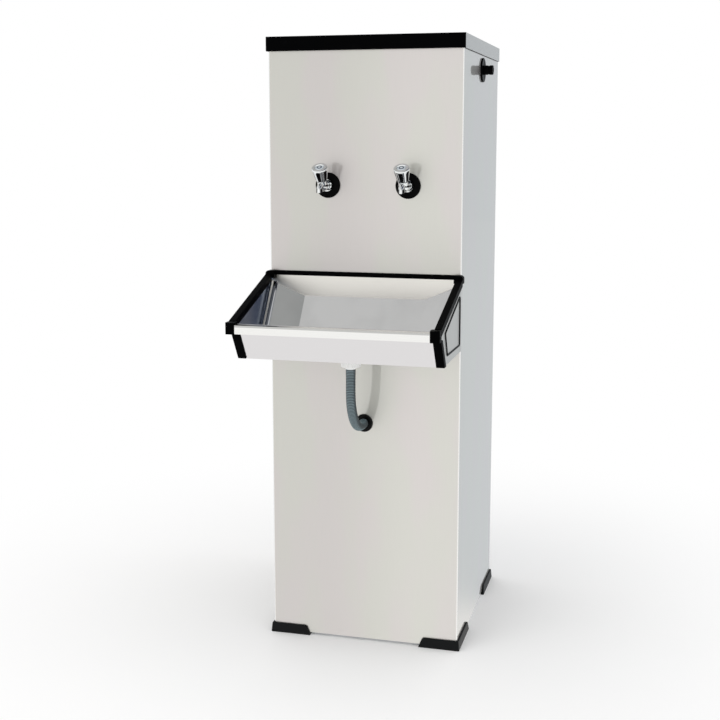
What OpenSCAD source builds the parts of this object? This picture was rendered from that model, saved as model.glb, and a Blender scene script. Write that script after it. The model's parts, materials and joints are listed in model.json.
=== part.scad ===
// Industrial water cooler: a floor-standing stainless cabinet with two screw-down taps,
// a wedge-shaped drip basin on a drain hose, a cold tank and a cooling unit.
// Millimetres. +Z is up, the front faces -Y and +X is the viewer's right.
// The origin is on the floor, under the middle of the cabinet.

/* [Cabinet] */
// Outside width of the cabinet
cabinet_w = 430; // [390:1:480]
// Outside depth of the cabinet
cabinet_d = 470; // [424:1:520]
// Height of the top of the lid above the floor
overall_h = 1350; // [1220:1:1480]
// Thickness of the stainless sheet
sheet_t = 1; // [0.8:0.1:1.4]
// Bend radius of the front corners
bend_r = 4; // [2:0.5:6]
// Height of the cabinet's lower edge above the floor
floor_gap = 6; // [4:0.5:9]
// Width of the return flanges that carry the rear panel
rear_flange_w = 22; // [18:1:28]
// Clearance round a part that slips inside the cabinet
slip_gap = 0.3; // [0.1:0.05:0.6]

/* [Lid] */
// Height of the lid's skirt
lid_h = 31; // [26:1:38]
// How far the skirt stands out past the cabinet
lid_overhang = 3.5; // [3:0.1:6]
// Thickness of the black strip on the lid's front
lid_trim_t = 3; // [2:0.5:5]

/* [Feet] */
// Length of a corner foot's arm along the front or rear
foot_len = 88; // [76:1:120]
// Length of a corner foot's arm along the side
foot_side_len = 126; // [80:1:140]
// Height of a corner foot
foot_h = 22; // [18:1:28]
// Thickness of a foot's guard along its upper edge
foot_edge_t = 4; // [3:0.5:6]
// Extra thickness of the guard at the floor
foot_flare = 2; // [0.5:0.5:4]
// How far the free ends lean back
foot_slope = 9; // [4:1:16]
// Rounding of the free ends' upper corners
foot_round = 7; // [3:0.5:9]

/* [Taps] */
// Drop from the top of the lid to the tap centres
tap_drop = 317; // [290:1:330]
// Distance between the two taps
tap_spacing = 178; // [150:1:210]
// How far the pair sits right of the middle
tap_shift = 8; // [-10:1:10]
// Diameter of the black wall plate
rosette_d = 55; // [46:1:64]
// Thickness of the wall plate at its centre
rosette_t = 8; // [6:0.5:11]
// Diameter of the threaded shank
shank_d = 20; // [18:0.5:21]
// Forward lean of the tap's head from upright, degrees
tap_lean = 32; // [24:1:36]
// Distance from the panel to the foot of the head's axis
head_reach = 41; // [39:1:48]
// Length of the knob
knob_len = 31; // [28:1:42]
// Diameter of the knob at its top
knob_top_d = 35; // [32:1:40]
// Diameter of the knob at its base
knob_base_d = 25.5; // [23:0.5:29]
// Number of flutes round the knob
knob_flutes = 6; // [5:1:8]
// Diameter of the spindle
spindle_d = 8; // [7:0.5:9]
// Rise of the spindle in one turn
lift_per_turn = 1.6; // [1:0.1:1.8]
// Turns from shut to fully open
open_turns = 1.5; // [1:0.25:1.5]
// Diametral play of a turning spindle or pin
run_play = 0.12; // [0.06:0.02:0.18]
// Outside diameter of the spout
spout_d = 13; // [12:0.5:15]
// Bore of the spout
spout_bore_d = 8; // [6:0.5:9]

/* [Basin] */
// How far the basin stands out from the panel
basin_depth = 268; // [264:1:290]
// Height of the basin's underside
basin_bottom_z = 680; // [672:1:686]
// Height of the back edge of the sheet
basin_back_z = 838; // [834:1:850]
// Height of the top of the front lip
lip_top_z = 760; // [690:1:800]
// Depth of the front lip
lip_h = 18; // [14:1:22]
// Distance from the panel to the foot of the sloping apron
apron_foot = 198; // [190:1:206]
// Distance from the panel to the head of the sloping apron
apron_top = 250; // [244:1:252]
// Height of the fold where the rear slope starts
slope_top_z = 790; // [780:1:796]
// Distance from the panel to the foot of the rear slope
slope_foot = 80; // [70:1:84]
// Half width of the flat part of the rear slope
slope_half_w = 135; // [110:1:150]
// Rise of the side wings from the slope to the cheeks
wing_rise = 32; // [20:1:34]
// Thickness of the basin sheet
bowl_t = 1.2; // [1:0.1:1.6]
// Thickness of a cheek panel
cheek_t = 3; // [2.5:0.5:4]
// Width of the black edge trim
trim_w = 14.5; // [11:0.5:15]
// Length of the black front corner caps
cap_len = 21; // [20:0.5:24]

/* [Drain] */
// Distance from the panel to the drain
drain_v = 112; // [104:1:130]
// Diameter of the drain hole in the bowl
drain_hole_d = 32; // [30:0.5:34]
// Diameter of the white drain nut
drain_nut_d = 42; // [40:0.5:48]
// Outside diameter of the ribbed hose
hose_d = 21; // [20:0.5:21.5]
// Bore of the hose
hose_bore_d = 16; // [15:0.5:17]
// Height at which the hose enters the panel
hose_z = 509; // [490:1:530]
// Diameter of the hose grommet
grommet_d = 40; // [36:1:46]

/* [Inlet] */
// Drop from the top of the lid to the inlet
inlet_drop = 64; // [60:1:70]
// Diameter of the inlet thread
inlet_d = 21; // [20:0.5:22]
// How far the inlet thread stands out from the side
inlet_reach = 25; // [22:1:30]
// Diameter of the inlet flange
inlet_flange_d = 54; // [48:1:60]
// Thickness of the inlet flange
inlet_flange_t = 4; // [3:0.5:6]
// Length of the float arm
float_arm_len = 120; // [110:1:126]
// Diameter of the float
float_d = 74; // [66:1:78]

/* [Tank] */
// Thickness of the foam round the tank
foam_t = 25; // [20:1:30]
// Thickness of the tank wall
tank_wall = 3; // [2:0.5:4]
// Height of the taps above the tank's underside
tap_above_tank = 36; // [34:1:44]
// Drop from the top of the lid to the rim of the tank
tank_drop = 42; // [40:1:46]
// Diameter of the cooling coil's tube
coil_tube_d = 10; // [8:1:12]

/* [Cooling unit] */
// Diameter of the compressor shell
compressor_d = 150; // [130:1:160]
// Height of the compressor shell
compressor_h = 165; // [150:1:190]
// Width of the condenser
condenser_w = 240; // [220:4:260]
// Height of the condenser
condenser_h = 220; // [200:1:240]
// Diameter of the fan
fan_d = 170; // [150:1:180]

/* [Hidden] */
$fn = 64;
side_x = cabinet_w / 2;
front_y = -cabinet_d / 2;
rear_y = cabinet_d / 2;
wrap_top = overall_h - sheet_t;
inner_x = side_x - sheet_t - slip_gap;
inner_front = front_y + sheet_t + slip_gap;
inner_rear = rear_y - sheet_t - slip_gap;
lid_bottom = overall_h - lid_h;
// Seats and fits shared by several pieces
hole_play = 0.5;
screw_d = 4;
foot_sole_w = 38;
screw_len = 10;
thread_play = 0.2;
// Tank, foam and shelf
tap_z = overall_h - tap_drop;
tank_z0 = tap_z - tap_above_tank;
tank_top = overall_h - tank_drop;
shelf_z = tank_z0 - foam_t;
tank_x = inner_x - foam_t;
tank_front = inner_front + foam_t;
tank_rear = inner_rear - foam_t;
tank_r = 20;
cover_t = 4;
cover_in = 8;
cover_grip_d = 60;
cover_grip_h = 13;
inlet_z = overall_h - inlet_drop;
tank_in_x = tank_x - tank_wall;
tank_in_front = tank_front + tank_wall;
// Tap lengths along the lean of the head, from the foot of its axis
tap_lift = lift_per_turn * open_turns;
shank_r = shank_d / 2;
shoulder_r = shank_r + 3;
barrel_r = shank_r + 1;
seat_s = 6.5;
washer_t = 2;
jumper_t = 1.5;
jumper_top_s = seat_s + washer_t + jumper_t;
chamber_r = 7.5;
boss_r = 10.5;
boss_s = jumper_top_s + tap_lift + 1.6;
bonnet_hex_t = 4;
neck_s = boss_s + bonnet_hex_t;
neck_top_s = neck_s + 6;
knob_s = neck_s - 1.6;
bonnet_r = 9.7;
skirt_r = bonnet_r + 0.6;
knob_wall = 0.85;
knob_top_s = knob_s + knob_len;
spindle_top_s = knob_top_s - 8;
spout_bend = 10;
spout_s = head_reach + 15;
nut_t = 8;
shank_in = tank_in_front - front_y + nut_t + 4;
// Basin geometry in the plane of the panel's depth and height
cheek_in = side_x - cheek_t;
cap_in = 14;
cap_out = 6;
cap_r = 3;
groove_w = 3;
groove_t = 1.2;
rim_fall = (basin_back_z - lip_top_z) / apron_top;
slope_angle = atan2(slope_top_z - basin_bottom_z, slope_foot);
stud_z = basin_back_z - 32;
stud_x = [-150, -50, 50, 150];
trim_up = 5;
trim_down = 10;
back_cap_len = 18;
// Drain stack, downwards from the bowl
drain_y = front_y - drain_v;
gasket_t = 3;
drain_nut_t = 20;
drain_neck_t = 5;
drain_neck_r = hose_d / 2 + 1;
drain_nut_z = basin_bottom_z - gasket_t - drain_nut_t;
hose_top_z = drain_nut_z - drain_neck_t;
tail_len = 20;
drain_tube_r = drain_hole_d / 2 - 0.3;
hose_sides = 12;
tail_r = hose_bore_d / 2 * cos(180 / hose_sides) - 0.15;
// Route of the drain hose in the plane x = 0: its bend, chosen by hand, is counted
// back from the drain and up from the panel's hole
hose_bend = [
    [0, 131], [0, 119], [0, 105], [0, 91], [3, 68], [12, 46], [26, 27], [45, 12], [67, 3], [90, 0]
];
hose_in = [101, 112, 123, 137];
hose_route = concat(
    [[drain_y, hose_top_z]],
    [for (p = hose_bend) [drain_y + p[0], hose_z + p[1]]],
    [for (d = hose_in) [drain_y + d, hose_z]]
);
hose_ribs = 72;
hose_plain = 9;
pipe_r = 10;
pipe_bore_r = 6;
pipe_bend = 22;
pipe_front_y = front_y + 46;
pipe_edge = 8;
pipe_x = -(side_x - rear_flange_w - pipe_r - pipe_edge);
pipe_z = 45;
pipe_out = 26;
outlet_in = 10;
// Float valve
hinge_x = tank_in_x - 36;
hinge_z = inlet_z - 22;
hinge_r = 2.5;
float_angle = 50;
// Cooling unit
tray_t = 1.2;
tray_top = floor_gap + tray_t;
comp_x = 45;
comp_y = front_y + 160;
mount_h = 16;
plate_t = 3;
comp_z = tray_top + mount_h + plate_t;
cond_x = 20;
cond_y = rear_y - 72;
cond_t = 44;
cond_z = tray_top + 18;
fan_y = cond_y - 26;
fan_z = cond_z + condenser_h / 2;
fan_hub_d = 40;
fan_hub_t = 20;
fan_chord = 36;
fan_shaft_d = 6;
motor_s = 12;
motor_d = 66;
motor_len = 50;
bracket_w = 90;
bracket_t = 3;
bracket_foot = 24;
coil_r = min(tank_in_x, -tank_in_front) - 38;
coil_z = tank_z0 + 62;
coil_turns = 5;
coil_pitch = 22;
tail_in = 30;
tail_z = shelf_z - 18;
line_bend = 30;
suction_r = 4;
liquid_r = 3.5;
capillary_r = 2.5;
drier_r = 10;
drier_len = 90;
dial_x = side_x - 85;
dial_z = 480;
gland_x = 95 - side_x;
gland_z = 430;

// Shared helpers

// A flat shape in Y and Z, carried from x0 to x1
module extrude_x(x0, x1) {
    translate([x0, 0, 0])
        rotate([90, 0, 90])
            linear_extrude(x1 - x0)
                children();
}

// A flat shape in X and Z, carried from y0 to y1
module extrude_y(y0, y1) {
    translate([0, y1, 0])
        rotate([90, 0, 0])
            linear_extrude(y1 - y0)
                children();
}

// The child and its mirror image across the middle
module both_sides() {
    children();
    mirror([1, 0, 0])
        children();
}

// A rectangle with four round corners, centred in X
module round_box(half_x, y0, y1, r) {
    translate([-half_x, y0 + r])
        square([2 * half_x, y1 - y0 - 2 * r]);
    translate([-half_x + r, y0])
        square([2 * (half_x - r), y1 - y0]);
    for (x = [-half_x + r, half_x - r])
        for (y = [y0 + r, y1 - r])
            translate([x, y])
                circle(r);
}

// A hexagonal prism of the given width across its flats
module hexagon(flats, h) {
    cylinder(d = flats / cos(30), h = h, $fn = 6);
}

// A convex outline moved outwards by d, corners kept sharp
function edge_out(a, b) = let (e = b - a) [e[1], -e[0]] / norm(e);
function grown(p, d) = let (n = len(p)) [
    for (i = [0 : n - 1])
        let (m = edge_out(p[(i + n - 1) % n], p[i]), k = edge_out(p[i], p[(i + 1) % n]))
            p[i] + d * (m + k) / (1 + m * k)
];

// Points that round the corner b between the edges from a and to c
function rounded(a, b, c, r) =
    let (u = (a - b) / norm(a - b), w = (c - b) / norm(c - b), half = acos(u * w) / 2)
    let (o = b + (u + w) / norm(u + w) * r / sin(half), reach = r / tan(half))
        [
            for (t = [0 : 0.2 : 1])
                let (d = (1 - t) * (b + u * reach - o) + t * (b + w * reach - o))
                    o + d * r / norm(d)
        ];

// Frames that slide along a path without twisting
function unit(v) = v / norm(v);
function along(p, i) = unit(p[min(i + 1, len(p) - 1)] - p[max(i - 1, 0)]);
function square_to(v, t) = unit(v - (v * t) * t);
function carried(p, start, i = 0, done = []) =
    i == len(p) ? done :
    let (u = square_to(i == 0 ? start : done[i - 1], along(p, i)))
        carried(p, start, i + 1, concat(done, [u]));
function ring(c, t, u, r, sides) = let (w = cross(t, u)) [
    for (k = [0 : sides - 1])
        c + r * (cos(360 * k / sides) * u + sin(360 * k / sides) * w)
];
function skin(rings, sides, base, flip) = [
    for (i = [0 : rings - 2])
        for (k = [0 : sides - 1])
            for (half = [0, 1])
                let (a = base + i * sides + k, b = base + i * sides + (k + 1) % sides)
                    let (f = half == 0 ? [a, b, b + sides] : [a, b + sides, a + sides])
                        flip ? f : [f[2], f[1], f[0]]
];
function cap_fan(first, sides, flip) = [
    for (k = [1 : sides - 2])
        flip ? [first, first + k, first + k + 1] : [first + k + 1, first + k, first]
];

// A solid round tube along a path
module rod(path, r, sides, start) {
    u = carried(path, start);
    n = len(path);
    points = [for (i = [0 : n - 1]) each ring(path[i], along(path, i), u[i], r, sides)];
    faces = concat(skin(n, sides, 0, false), cap_fan(0, sides, true),
        cap_fan((n - 1) * sides, sides, false));
    polyhedron(points, faces);
}

// Cabinet

module front_outline(inset, rear) {
    r = bend_r - inset;
    w = side_x - inset;
    y0 = front_y + inset;
    translate([-w, y0 + r])
        square([2 * w, rear - y0 - r]);
    translate([-w + r, y0])
        square([2 * (w - r), r + 1]);
    for (x = [-w + r, w - r])
        translate([x, y0 + r])
            circle(r);
}

module cabinet_shell() {
    color([0.80, 0.80, 0.78])
    difference() {
        union() {
            translate([0, 0, floor_gap])
                linear_extrude(wrap_top - floor_gap)
                    difference() {
                        front_outline(0, rear_y);
                        front_outline(sheet_t, rear_y + 1);
                    }
            both_sides()
                translate([side_x - rear_flange_w, rear_y - sheet_t, floor_gap])
                    cube([rear_flange_w - sheet_t / 2, sheet_t, wrap_top - floor_gap]);
        }
        for (side = [-1, 1])
            at_tap(side)
                translate([0, 1 + sheet_t, 0])
                    rotate([90, 0, 0])
                        cylinder(d = shank_d + 2 * hole_play, h = sheet_t + 2);
        for (x = stud_x)
            translate([x, front_y + sheet_t + 1, stud_z])
                rotate([90, 0, 0])
                    cylinder(d = screw_d + 1, h = sheet_t + 2);
        translate([0, front_y + sheet_t + 1, hose_z])
            rotate([90, 0, 0])
                cylinder(d = grommet_d - 8, h = sheet_t + 2);
        translate([side_x - sheet_t - 1, 0, inlet_z])
            rotate([0, 90, 0])
                cylinder(d = inlet_d + 2 * hole_play, h = sheet_t + 2);
        screw_holes();
    }
}

// Rear panel screws and the two lid screws
screw_x = side_x - rear_flange_w / 2;
panel_z0 = foot_h + 4;
panel_z1 = lid_bottom - 3;
screw_z = [for (i = [0 : 3]) panel_z0 + 30 + i * (panel_z1 - panel_z0 - 60) / 3];
lid_screw_z = overall_h - lid_h / 2;

module screw_holes() {
    for (x = [-screw_x, screw_x])
        for (z = concat(screw_z, [lid_screw_z]))
            translate([x, rear_y + sheet_t + 1, z])
                rotate([90, 0, 0])
                    cylinder(d = screw_d + 2 * thread_play, h = 2 * sheet_t + 2);
}

module panel_screws() {
    color([0.62, 0.63, 0.65])
    for (x = [-screw_x, screw_x])
        for (z = concat(screw_z, [lid_screw_z]))
            translate([x, rear_y + sheet_t, z])
                rotate([90, 0, 0]) {
                    cylinder(d = screw_d, h = screw_len);
                    difference() {
                        translate([0, 0, -2.4])
                            cylinder(d = 8, h = 2.4);
                        for (a = [0, 90])
                            rotate([0, 0, a])
                                translate([-2.2, -0.5, -3])
                                    cube([4.4, 1, 1.8]);
                    }
                }
}

louvre_len = 120;
louvre_r = 8;
louvre_rows = 9;

module rear_panel() {
    color([0.72, 0.73, 0.74])
    difference() {
        union() {
            translate([-side_x + 1.5, rear_y, panel_z0])
                cube([2 * side_x - 3, sheet_t, panel_z1 - panel_z0]);
            for (x = [-1, 1])
                for (row = [0 : louvre_rows - 1])
                    translate([x * (louvre_len / 2 + 14), 0, 96 + 24 * row])
                        louvre_hood();
        }
        for (x = [-1, 1])
            for (row = [0 : louvre_rows - 1])
                translate([x * (louvre_len / 2 + 14) - louvre_len / 2 + 1.5, rear_y - 1, 96 + 24 * row])
                    cube([louvre_len - 3, sheet_t + 1.001, louvre_r - 2]);
        screw_holes();
        translate([pipe_x, rear_y - 1, pipe_z])
            rotate([-90, 0, 0])
                cylinder(r = pipe_r + hole_play, h = sheet_t + 2);
        translate([dial_x, rear_y - 1, dial_z])
            rotate([-90, 0, 0])
                cylinder(d = 8, h = sheet_t + 2);
        translate([gland_x, rear_y - 1, gland_z])
            rotate([-90, 0, 0])
                cylinder(d = 16.4, h = sheet_t + 2);
    }
}

// A pressed hood, shut at its ends and open below
module louvre_hood() {
    extrude_x(-louvre_len / 2, louvre_len / 2)
        translate([rear_y + sheet_t, 0])
            intersection() {
                difference() {
                    circle(louvre_r);
                    circle(louvre_r - sheet_t);
                }
                translate([-0.01, 0])
                    square(louvre_r + 1);
            }
    for (x = [-louvre_len / 2, louvre_len / 2 - sheet_t])
        extrude_x(x, x + sheet_t)
            translate([rear_y + sheet_t, 0])
                intersection() {
                    circle(louvre_r - 0.2);
                    translate([-0.01, 0])
                        square(louvre_r + 1);
                }
}

module top_lid() {
    color([0.80, 0.80, 0.79])
    difference() {
        translate([0, 0, lid_bottom])
            linear_extrude(lid_h)
                round_box(side_x + lid_overhang, front_y - lid_overhang, rear_y + sheet_t, 2);
        translate([-side_x - lid_overhang + sheet_t, front_y - lid_overhang + sheet_t, lid_bottom - 1])
            cube([2 * (side_x + lid_overhang - sheet_t), cabinet_d + lid_overhang - sheet_t,
                lid_h + 1 - sheet_t]);
        screw_holes();
    }
}

module lid_front_trim() {
    color([0.07, 0.07, 0.08])
    extrude_x(-side_x - lid_overhang, side_x + lid_overhang)
        translate([front_y - lid_overhang, lid_bottom]) {
            r = lid_trim_t / 2;
            translate([-lid_trim_t, r])
                square([lid_trim_t, lid_h - 2 * r]);
            translate([-lid_trim_t + r, 0])
                square([r, lid_h]);
            for (z = [r, lid_h - r])
                translate([-lid_trim_t + r, z])
                    circle(r);
        }
}

module base_tray() {
    rim = 25;
    color([0.55, 0.57, 0.58])
    difference() {
        translate([-inner_x, inner_front + bend_r, floor_gap])
            cube([2 * inner_x, inner_rear - inner_front - bend_r, rim]);
        translate([-inner_x + tray_t, inner_front + bend_r + tray_t, tray_top])
            cube([2 * (inner_x - tray_t), inner_rear - inner_front - bend_r - 2 * tray_t, rim]);
        translate([pipe_x, inner_rear - tray_t - 1, pipe_z])
            rotate([-90, 0, 0])
                cylinder(r = pipe_r + 2, h = tray_t + 2);
    }
}

// A black guard that wraps one corner and carries it on the floor
module corner_foot() {
    end_x = side_x - foot_len;
    end_y = front_y + foot_side_len;
    difference() {
        intersection() {
            extrude_y(front_y - 2 * foot_edge_t - foot_flare, end_y)
                polygon(arm_outline(end_x, side_x, 1));
            extrude_x(end_x, side_x + 2 * foot_edge_t + foot_flare)
                polygon(arm_outline(end_y, front_y, -1));
        }
        translate([end_x - 1, front_y, floor_gap])
            cube([foot_len + 1, foot_side_len + 1, foot_h]);
        translate([0, 0, -1])
            linear_extrude(foot_h)
                polygon([
                    [end_x - 1, front_y + foot_sole_w], [side_x - foot_sole_w, end_y + 1],
                    [end_x - 1, end_y + 1]
                ]);
    }
}

// One arm seen square on, from its free end to the cabinet's corner, which lies the way of sign
function arm_outline(end, corner, sign) =
    let (foot = [end, 0], head = [end + sign * foot_slope, foot_h])
    let (edge = [corner + sign * foot_edge_t, foot_h])
        concat(
            [[corner + sign * (foot_edge_t + foot_flare), 0], foot],
            rounded(foot, head, edge, foot_round), [edge]
        );

module corner_feet() {
    color([0.08, 0.08, 0.09])
    both_sides() {
        corner_foot();
        mirror([0, 1, 0])
            corner_foot();
    }
}

// Taps: the head's axis leans forward from the barrel

module at_tap(side) {
    translate([tap_shift + side * tap_spacing / 2, front_y, tap_z])
        children();
}

module at_head(side) {
    at_tap(side)
        translate([0, -head_reach, 0])
            rotate([tap_lean, 0, 0])
                children();
}

module rosette(side) {
    r = rosette_d / 2;
    color([0.05, 0.05, 0.06])
    at_tap(side)
        rotate([90, 0, 0])
            difference() {
                rotate_extrude()
                    polygon([[0, 0], [r, 0], [r, 2.5], [r - 0.6, 3.6], [r - 1.8, 4.4],
                        [shoulder_r + 3, rosette_t], [0, rosette_t]]);
                translate([0, 0, -1])
                    cylinder(r = shank_r + thread_play, h = rosette_t + 2);
            }
}

module tap_rosette_left() {
    rosette(-1);
}

module tap_rosette_right() {
    rosette(1);
}

module tap_body(side) {
    color([0.86, 0.87, 0.88])
    difference() {
        union() {
            at_tap(side)
                rotate([90, 0, 0]) {
                    translate([0, 0, -shank_in])
                        cylinder(r = shank_r, h = shank_in + rosette_t + 1);
                    translate([0, 0, rosette_t])
                        cylinder(r = shoulder_r, h = 4);
                    translate([0, 0, rosette_t + 4])
                        cylinder(r = barrel_r - 1.5, h = head_reach - rosette_t - 4);
                    translate([0, 0, head_reach - 18])
                        cylinder(r = barrel_r, h = 5);
                    translate([0, 0, head_reach])
                        sphere(r = barrel_r + 1);
                    translate([0, 0, head_reach])
                        cylinder(d = spout_d, h = spout_s - head_reach);
                }
            at_head(side)
                cylinder(r = boss_r, h = boss_s);
            spout_turn(side, spout_d, 4);
        }
        at_tap(side)
            rotate([90, 0, 0]) {
                translate([0, 0, -shank_in - 1])
                    cylinder(r = 5, h = shank_in + head_reach + 2);
                translate([0, 0, head_reach + 6])
                    cylinder(d = spout_bore_d, h = spout_s - head_reach - 6);
            }
        at_head(side) {
            cylinder(r = 3.5, h = seat_s + 1);
            translate([0, 0, seat_s])
                cylinder(r = chamber_r, h = boss_s);
        }
        spout_turn(side, spout_bore_d, 5);
    }
}

// The spout's bend and its straight end
module spout_turn(side, d, end) {
    at_tap(side)
        translate([0, -spout_s, -spout_bend]) {
            rotate([90, 0, -90])
                rotate_extrude(angle = 90)
                    translate([spout_bend, 0])
                        circle(d = d);
            translate([0, -spout_bend, -end])
                cylinder(d = d, h = end);
        }
}

module tap_body_left() {
    tap_body(-1);
}

module tap_body_right() {
    tap_body(1);
}

module bonnet(side) {
    color([0.84, 0.85, 0.86])
    at_head(side)
        difference() {
            union() {
                translate([0, 0, boss_s - 1.2])
                    cylinder(r = chamber_r - thread_play / 2, h = 2);
                translate([0, 0, boss_s])
                    intersection() {
                        hexagon(17, bonnet_hex_t);
                        cylinder(r1 = bonnet_r, r2 = bonnet_r - 0.5, h = bonnet_hex_t);
                    }
                translate([0, 0, neck_s - 1])
                    cylinder(r = 7.5, h = neck_top_s - neck_s + 1);
            }
            translate([0, 0, boss_s - 3])
                cylinder(d = spindle_d + run_play, h = neck_top_s);
        }
}

module tap_bonnet_left() {
    bonnet(-1);
}

module tap_bonnet_right() {
    bonnet(1);
}

module spindle(side) {
    color([0.78, 0.66, 0.40])
    at_head(side)
        difference() {
            translate([0, 0, jumper_top_s])
                cylinder(d = spindle_d, h = spindle_top_s - jumper_top_s);
            translate([0, 0, jumper_top_s - 1])
                cylinder(d = 3 + run_play, h = 8);
        }
}

module tap_spindle_left() {
    spindle(-1);
}

module tap_spindle_right() {
    spindle(1);
}

// A fluted knob, wider at its top, hollow over the bonnet
module knob(side) {
    r0 = knob_base_d / 2;
    r1 = knob_top_d / 2;
    edge = 3;
    lean = atan2(r1 - r0, knob_len - edge);
    flute_r = 0.24 * knob_top_d;
    flute_x = skirt_r + knob_wall + flute_r;
    flute_lean = lean - 2.5;
    cap_seat_r = 10;
    color([0.88, 0.89, 0.90])
    at_head(side)
        translate([0, 0, knob_s])
            difference() {
                rotate_extrude()
                    polygon(concat(
                        [[0, 0], [r0 - 1, 0], [r0, 1]],
                        [
                            for (a = [0 : 15 : 90])
                                [r1 - edge + edge * cos(a), knob_len - edge + edge * sin(a)]
                        ],
                        [
                            [cap_seat_r + 0.5, knob_len], [cap_seat_r, knob_len - 1],
                            [cap_seat_r - 0.8, knob_len - 2.2], [0, knob_len - 2.2]
                        ]));
                translate([0, 0, -1])
                    cylinder(r = skirt_r, h = neck_s - knob_s + 1.8);
                translate([0, 0, -1])
                    cylinder(r = 8.4, h = neck_top_s - knob_s + 1.8 + 1);
                translate([0, 0, -1])
                    cylinder(d = spindle_d + 0.1, h = spindle_top_s - knob_s + 1);
                for (k = [0 : knob_flutes - 1])
                    rotate([0, 0, 360 * (k + 0.5) / knob_flutes])
                        translate([flute_x, 0, 0])
                            rotate([0, flute_lean, 0]) {
                                translate([0, 0, -8])
                                    cylinder(r = flute_r, h = knob_len - 2.5);
                                translate([0, 0, knob_len - 10.5])
                                    sphere(r = flute_r + 0.1);
                            }
            }
}

module tap_knob_left() {
    knob(-1);
}

module tap_knob_right() {
    knob(1);
}

module knob_cap(side) {
    color([0.62, 0.66, 0.72])
    at_head(side)
        translate([0, 0, knob_top_s - 2.2])
            rotate_extrude()
                polygon([[0, 0], [8.8, 0], [8.8, 1], [8, 1.7], [5, 2.3], [0, 2.5]]);
}

module tap_cap_left() {
    knob_cap(-1);
}

module tap_cap_right() {
    knob_cap(1);
}

module jumper(side) {
    color([0.76, 0.64, 0.38])
    at_head(side) {
        translate([0, 0, seat_s + washer_t])
            cylinder(r = 6, h = jumper_t);
        translate([0, 0, seat_s + washer_t])
            cylinder(d = 3, h = jumper_t + 6);
    }
}

module tap_jumper_left() {
    jumper(-1);
}

module tap_jumper_right() {
    jumper(1);
}

module washer(side) {
    color([0.12, 0.12, 0.12])
    at_head(side)
        translate([0, 0, seat_s])
            cylinder(r = 5.8, h = washer_t);
}

module tap_washer_left() {
    washer(-1);
}

module tap_washer_right() {
    washer(1);
}

module tap_backnuts() {
    color([0.78, 0.68, 0.45])
    for (side = [-1, 1])
        at_tap(side)
            translate([0, tank_in_front - front_y + nut_t, 0])
                rotate([90, 0, 0])
                    difference() {
                        hexagon(shank_d + 9, nut_t);
                        translate([0, 0, -1])
                            cylinder(r = shank_r + thread_play / 2, h = nut_t + 2);
                    }
}

// Basin: v counts forward from the panel

function at_v(v, z) = [front_y - v, z];
function rim_z(v) = basin_back_z - v * rim_fall;
apron_lean = (apron_top - apron_foot) / (lip_top_z - basin_bottom_z);
function apron_v(z) = apron_foot + (z - basin_bottom_z) * apron_lean;

// Outside of the folded bowl, and the same walls carried on above the rim
bowl_outline = [
    at_v(0, basin_back_z), at_v(apron_top, lip_top_z), at_v(apron_foot, basin_bottom_z),
    at_v(slope_foot, basin_bottom_z), at_v(0, slope_top_z)
];
bowl_walls = [
    at_v(0, basin_back_z + 20), at_v(apron_v(lip_top_z + 20), lip_top_z + 20),
    at_v(apron_foot, basin_bottom_z), at_v(slope_foot, basin_bottom_z), at_v(0, slope_top_z)
];
cheek_outline = [
    at_v(0, basin_back_z), at_v(apron_top, lip_top_z), at_v(apron_foot, basin_bottom_z),
    at_v(0, basin_bottom_z)
];

// Everything above the rear slope and its two wings, raised by d
module above_wings(d, margin) {
    far = cheek_in + margin;
    rise = wing_rise * cos(slope_angle) / (cheek_in - slope_half_w);
    lift = d / cos(atan(rise));
    corner = slope_half_w + (d - lift) / rise;
    end = (far - slope_half_w) * rise + lift;
    translate([0, front_y, slope_top_z])
        rotate([90 + slope_angle, 0, 0])
            translate([0, 0, -200])
                linear_extrude(600)
                    polygon([[-far, end], [-corner, d], [corner, d], [far, end], [far, 400], [-far, 400]]);
}

module bowl_sheet() {
    difference() {
        intersection() {
            extrude_x(-cheek_in, cheek_in)
                polygon(bowl_outline);
            above_wings(0, 0);
        }
        intersection() {
            extrude_x(-cheek_in - 1, cheek_in + 1)
                polygon(grown(bowl_walls, -bowl_t));
            above_wings(bowl_t, 5);
        }
    }
}

module basin_bowl() {
    lip_in = apron_top - 1.5 * bowl_t;
    lip_x = side_x - cap_in;
    color([0.82, 0.83, 0.84])
    difference() {
        union() {
            bowl_sheet();
            extrude_x(-lip_x, lip_x)
                polygon([
                    at_v(lip_in, lip_top_z), at_v(basin_depth, lip_top_z),
                    at_v(basin_depth, lip_top_z - lip_h), at_v(basin_depth - bowl_t, lip_top_z - lip_h),
                    at_v(basin_depth - bowl_t, lip_top_z - bowl_t), at_v(lip_in, lip_top_z - bowl_t)
                ]);
            for (x = stud_x)
                translate([x, front_y - bowl_t / 2, stud_z])
                    rotate([-90, 0, 0])
                        cylinder(d = screw_d, h = 14);
        }
        translate([0, drain_y, basin_bottom_z - 1])
            cylinder(d = drain_hole_d, h = bowl_t + 2);
    }
}

module basin_nuts() {
    color([0.66, 0.67, 0.68])
    for (x = stud_x)
        translate([x, front_y + sheet_t, stud_z])
            rotate([-90, 0, 0])
                difference() {
                    hexagon(9, 4);
                    translate([0, 0, -1])
                        cylinder(d = screw_d + thread_play, h = 6);
                }
}

// A side panel with a pressed groove on its outer face
groove_outline = [
    at_v(18, rim_z(18) - 29), at_v(apron_v(basin_bottom_z + 68) - 58, basin_bottom_z + 68),
    at_v(apron_v(basin_bottom_z + 17) - 50, basin_bottom_z + 17), at_v(18, basin_bottom_z + 15)
];

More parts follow.
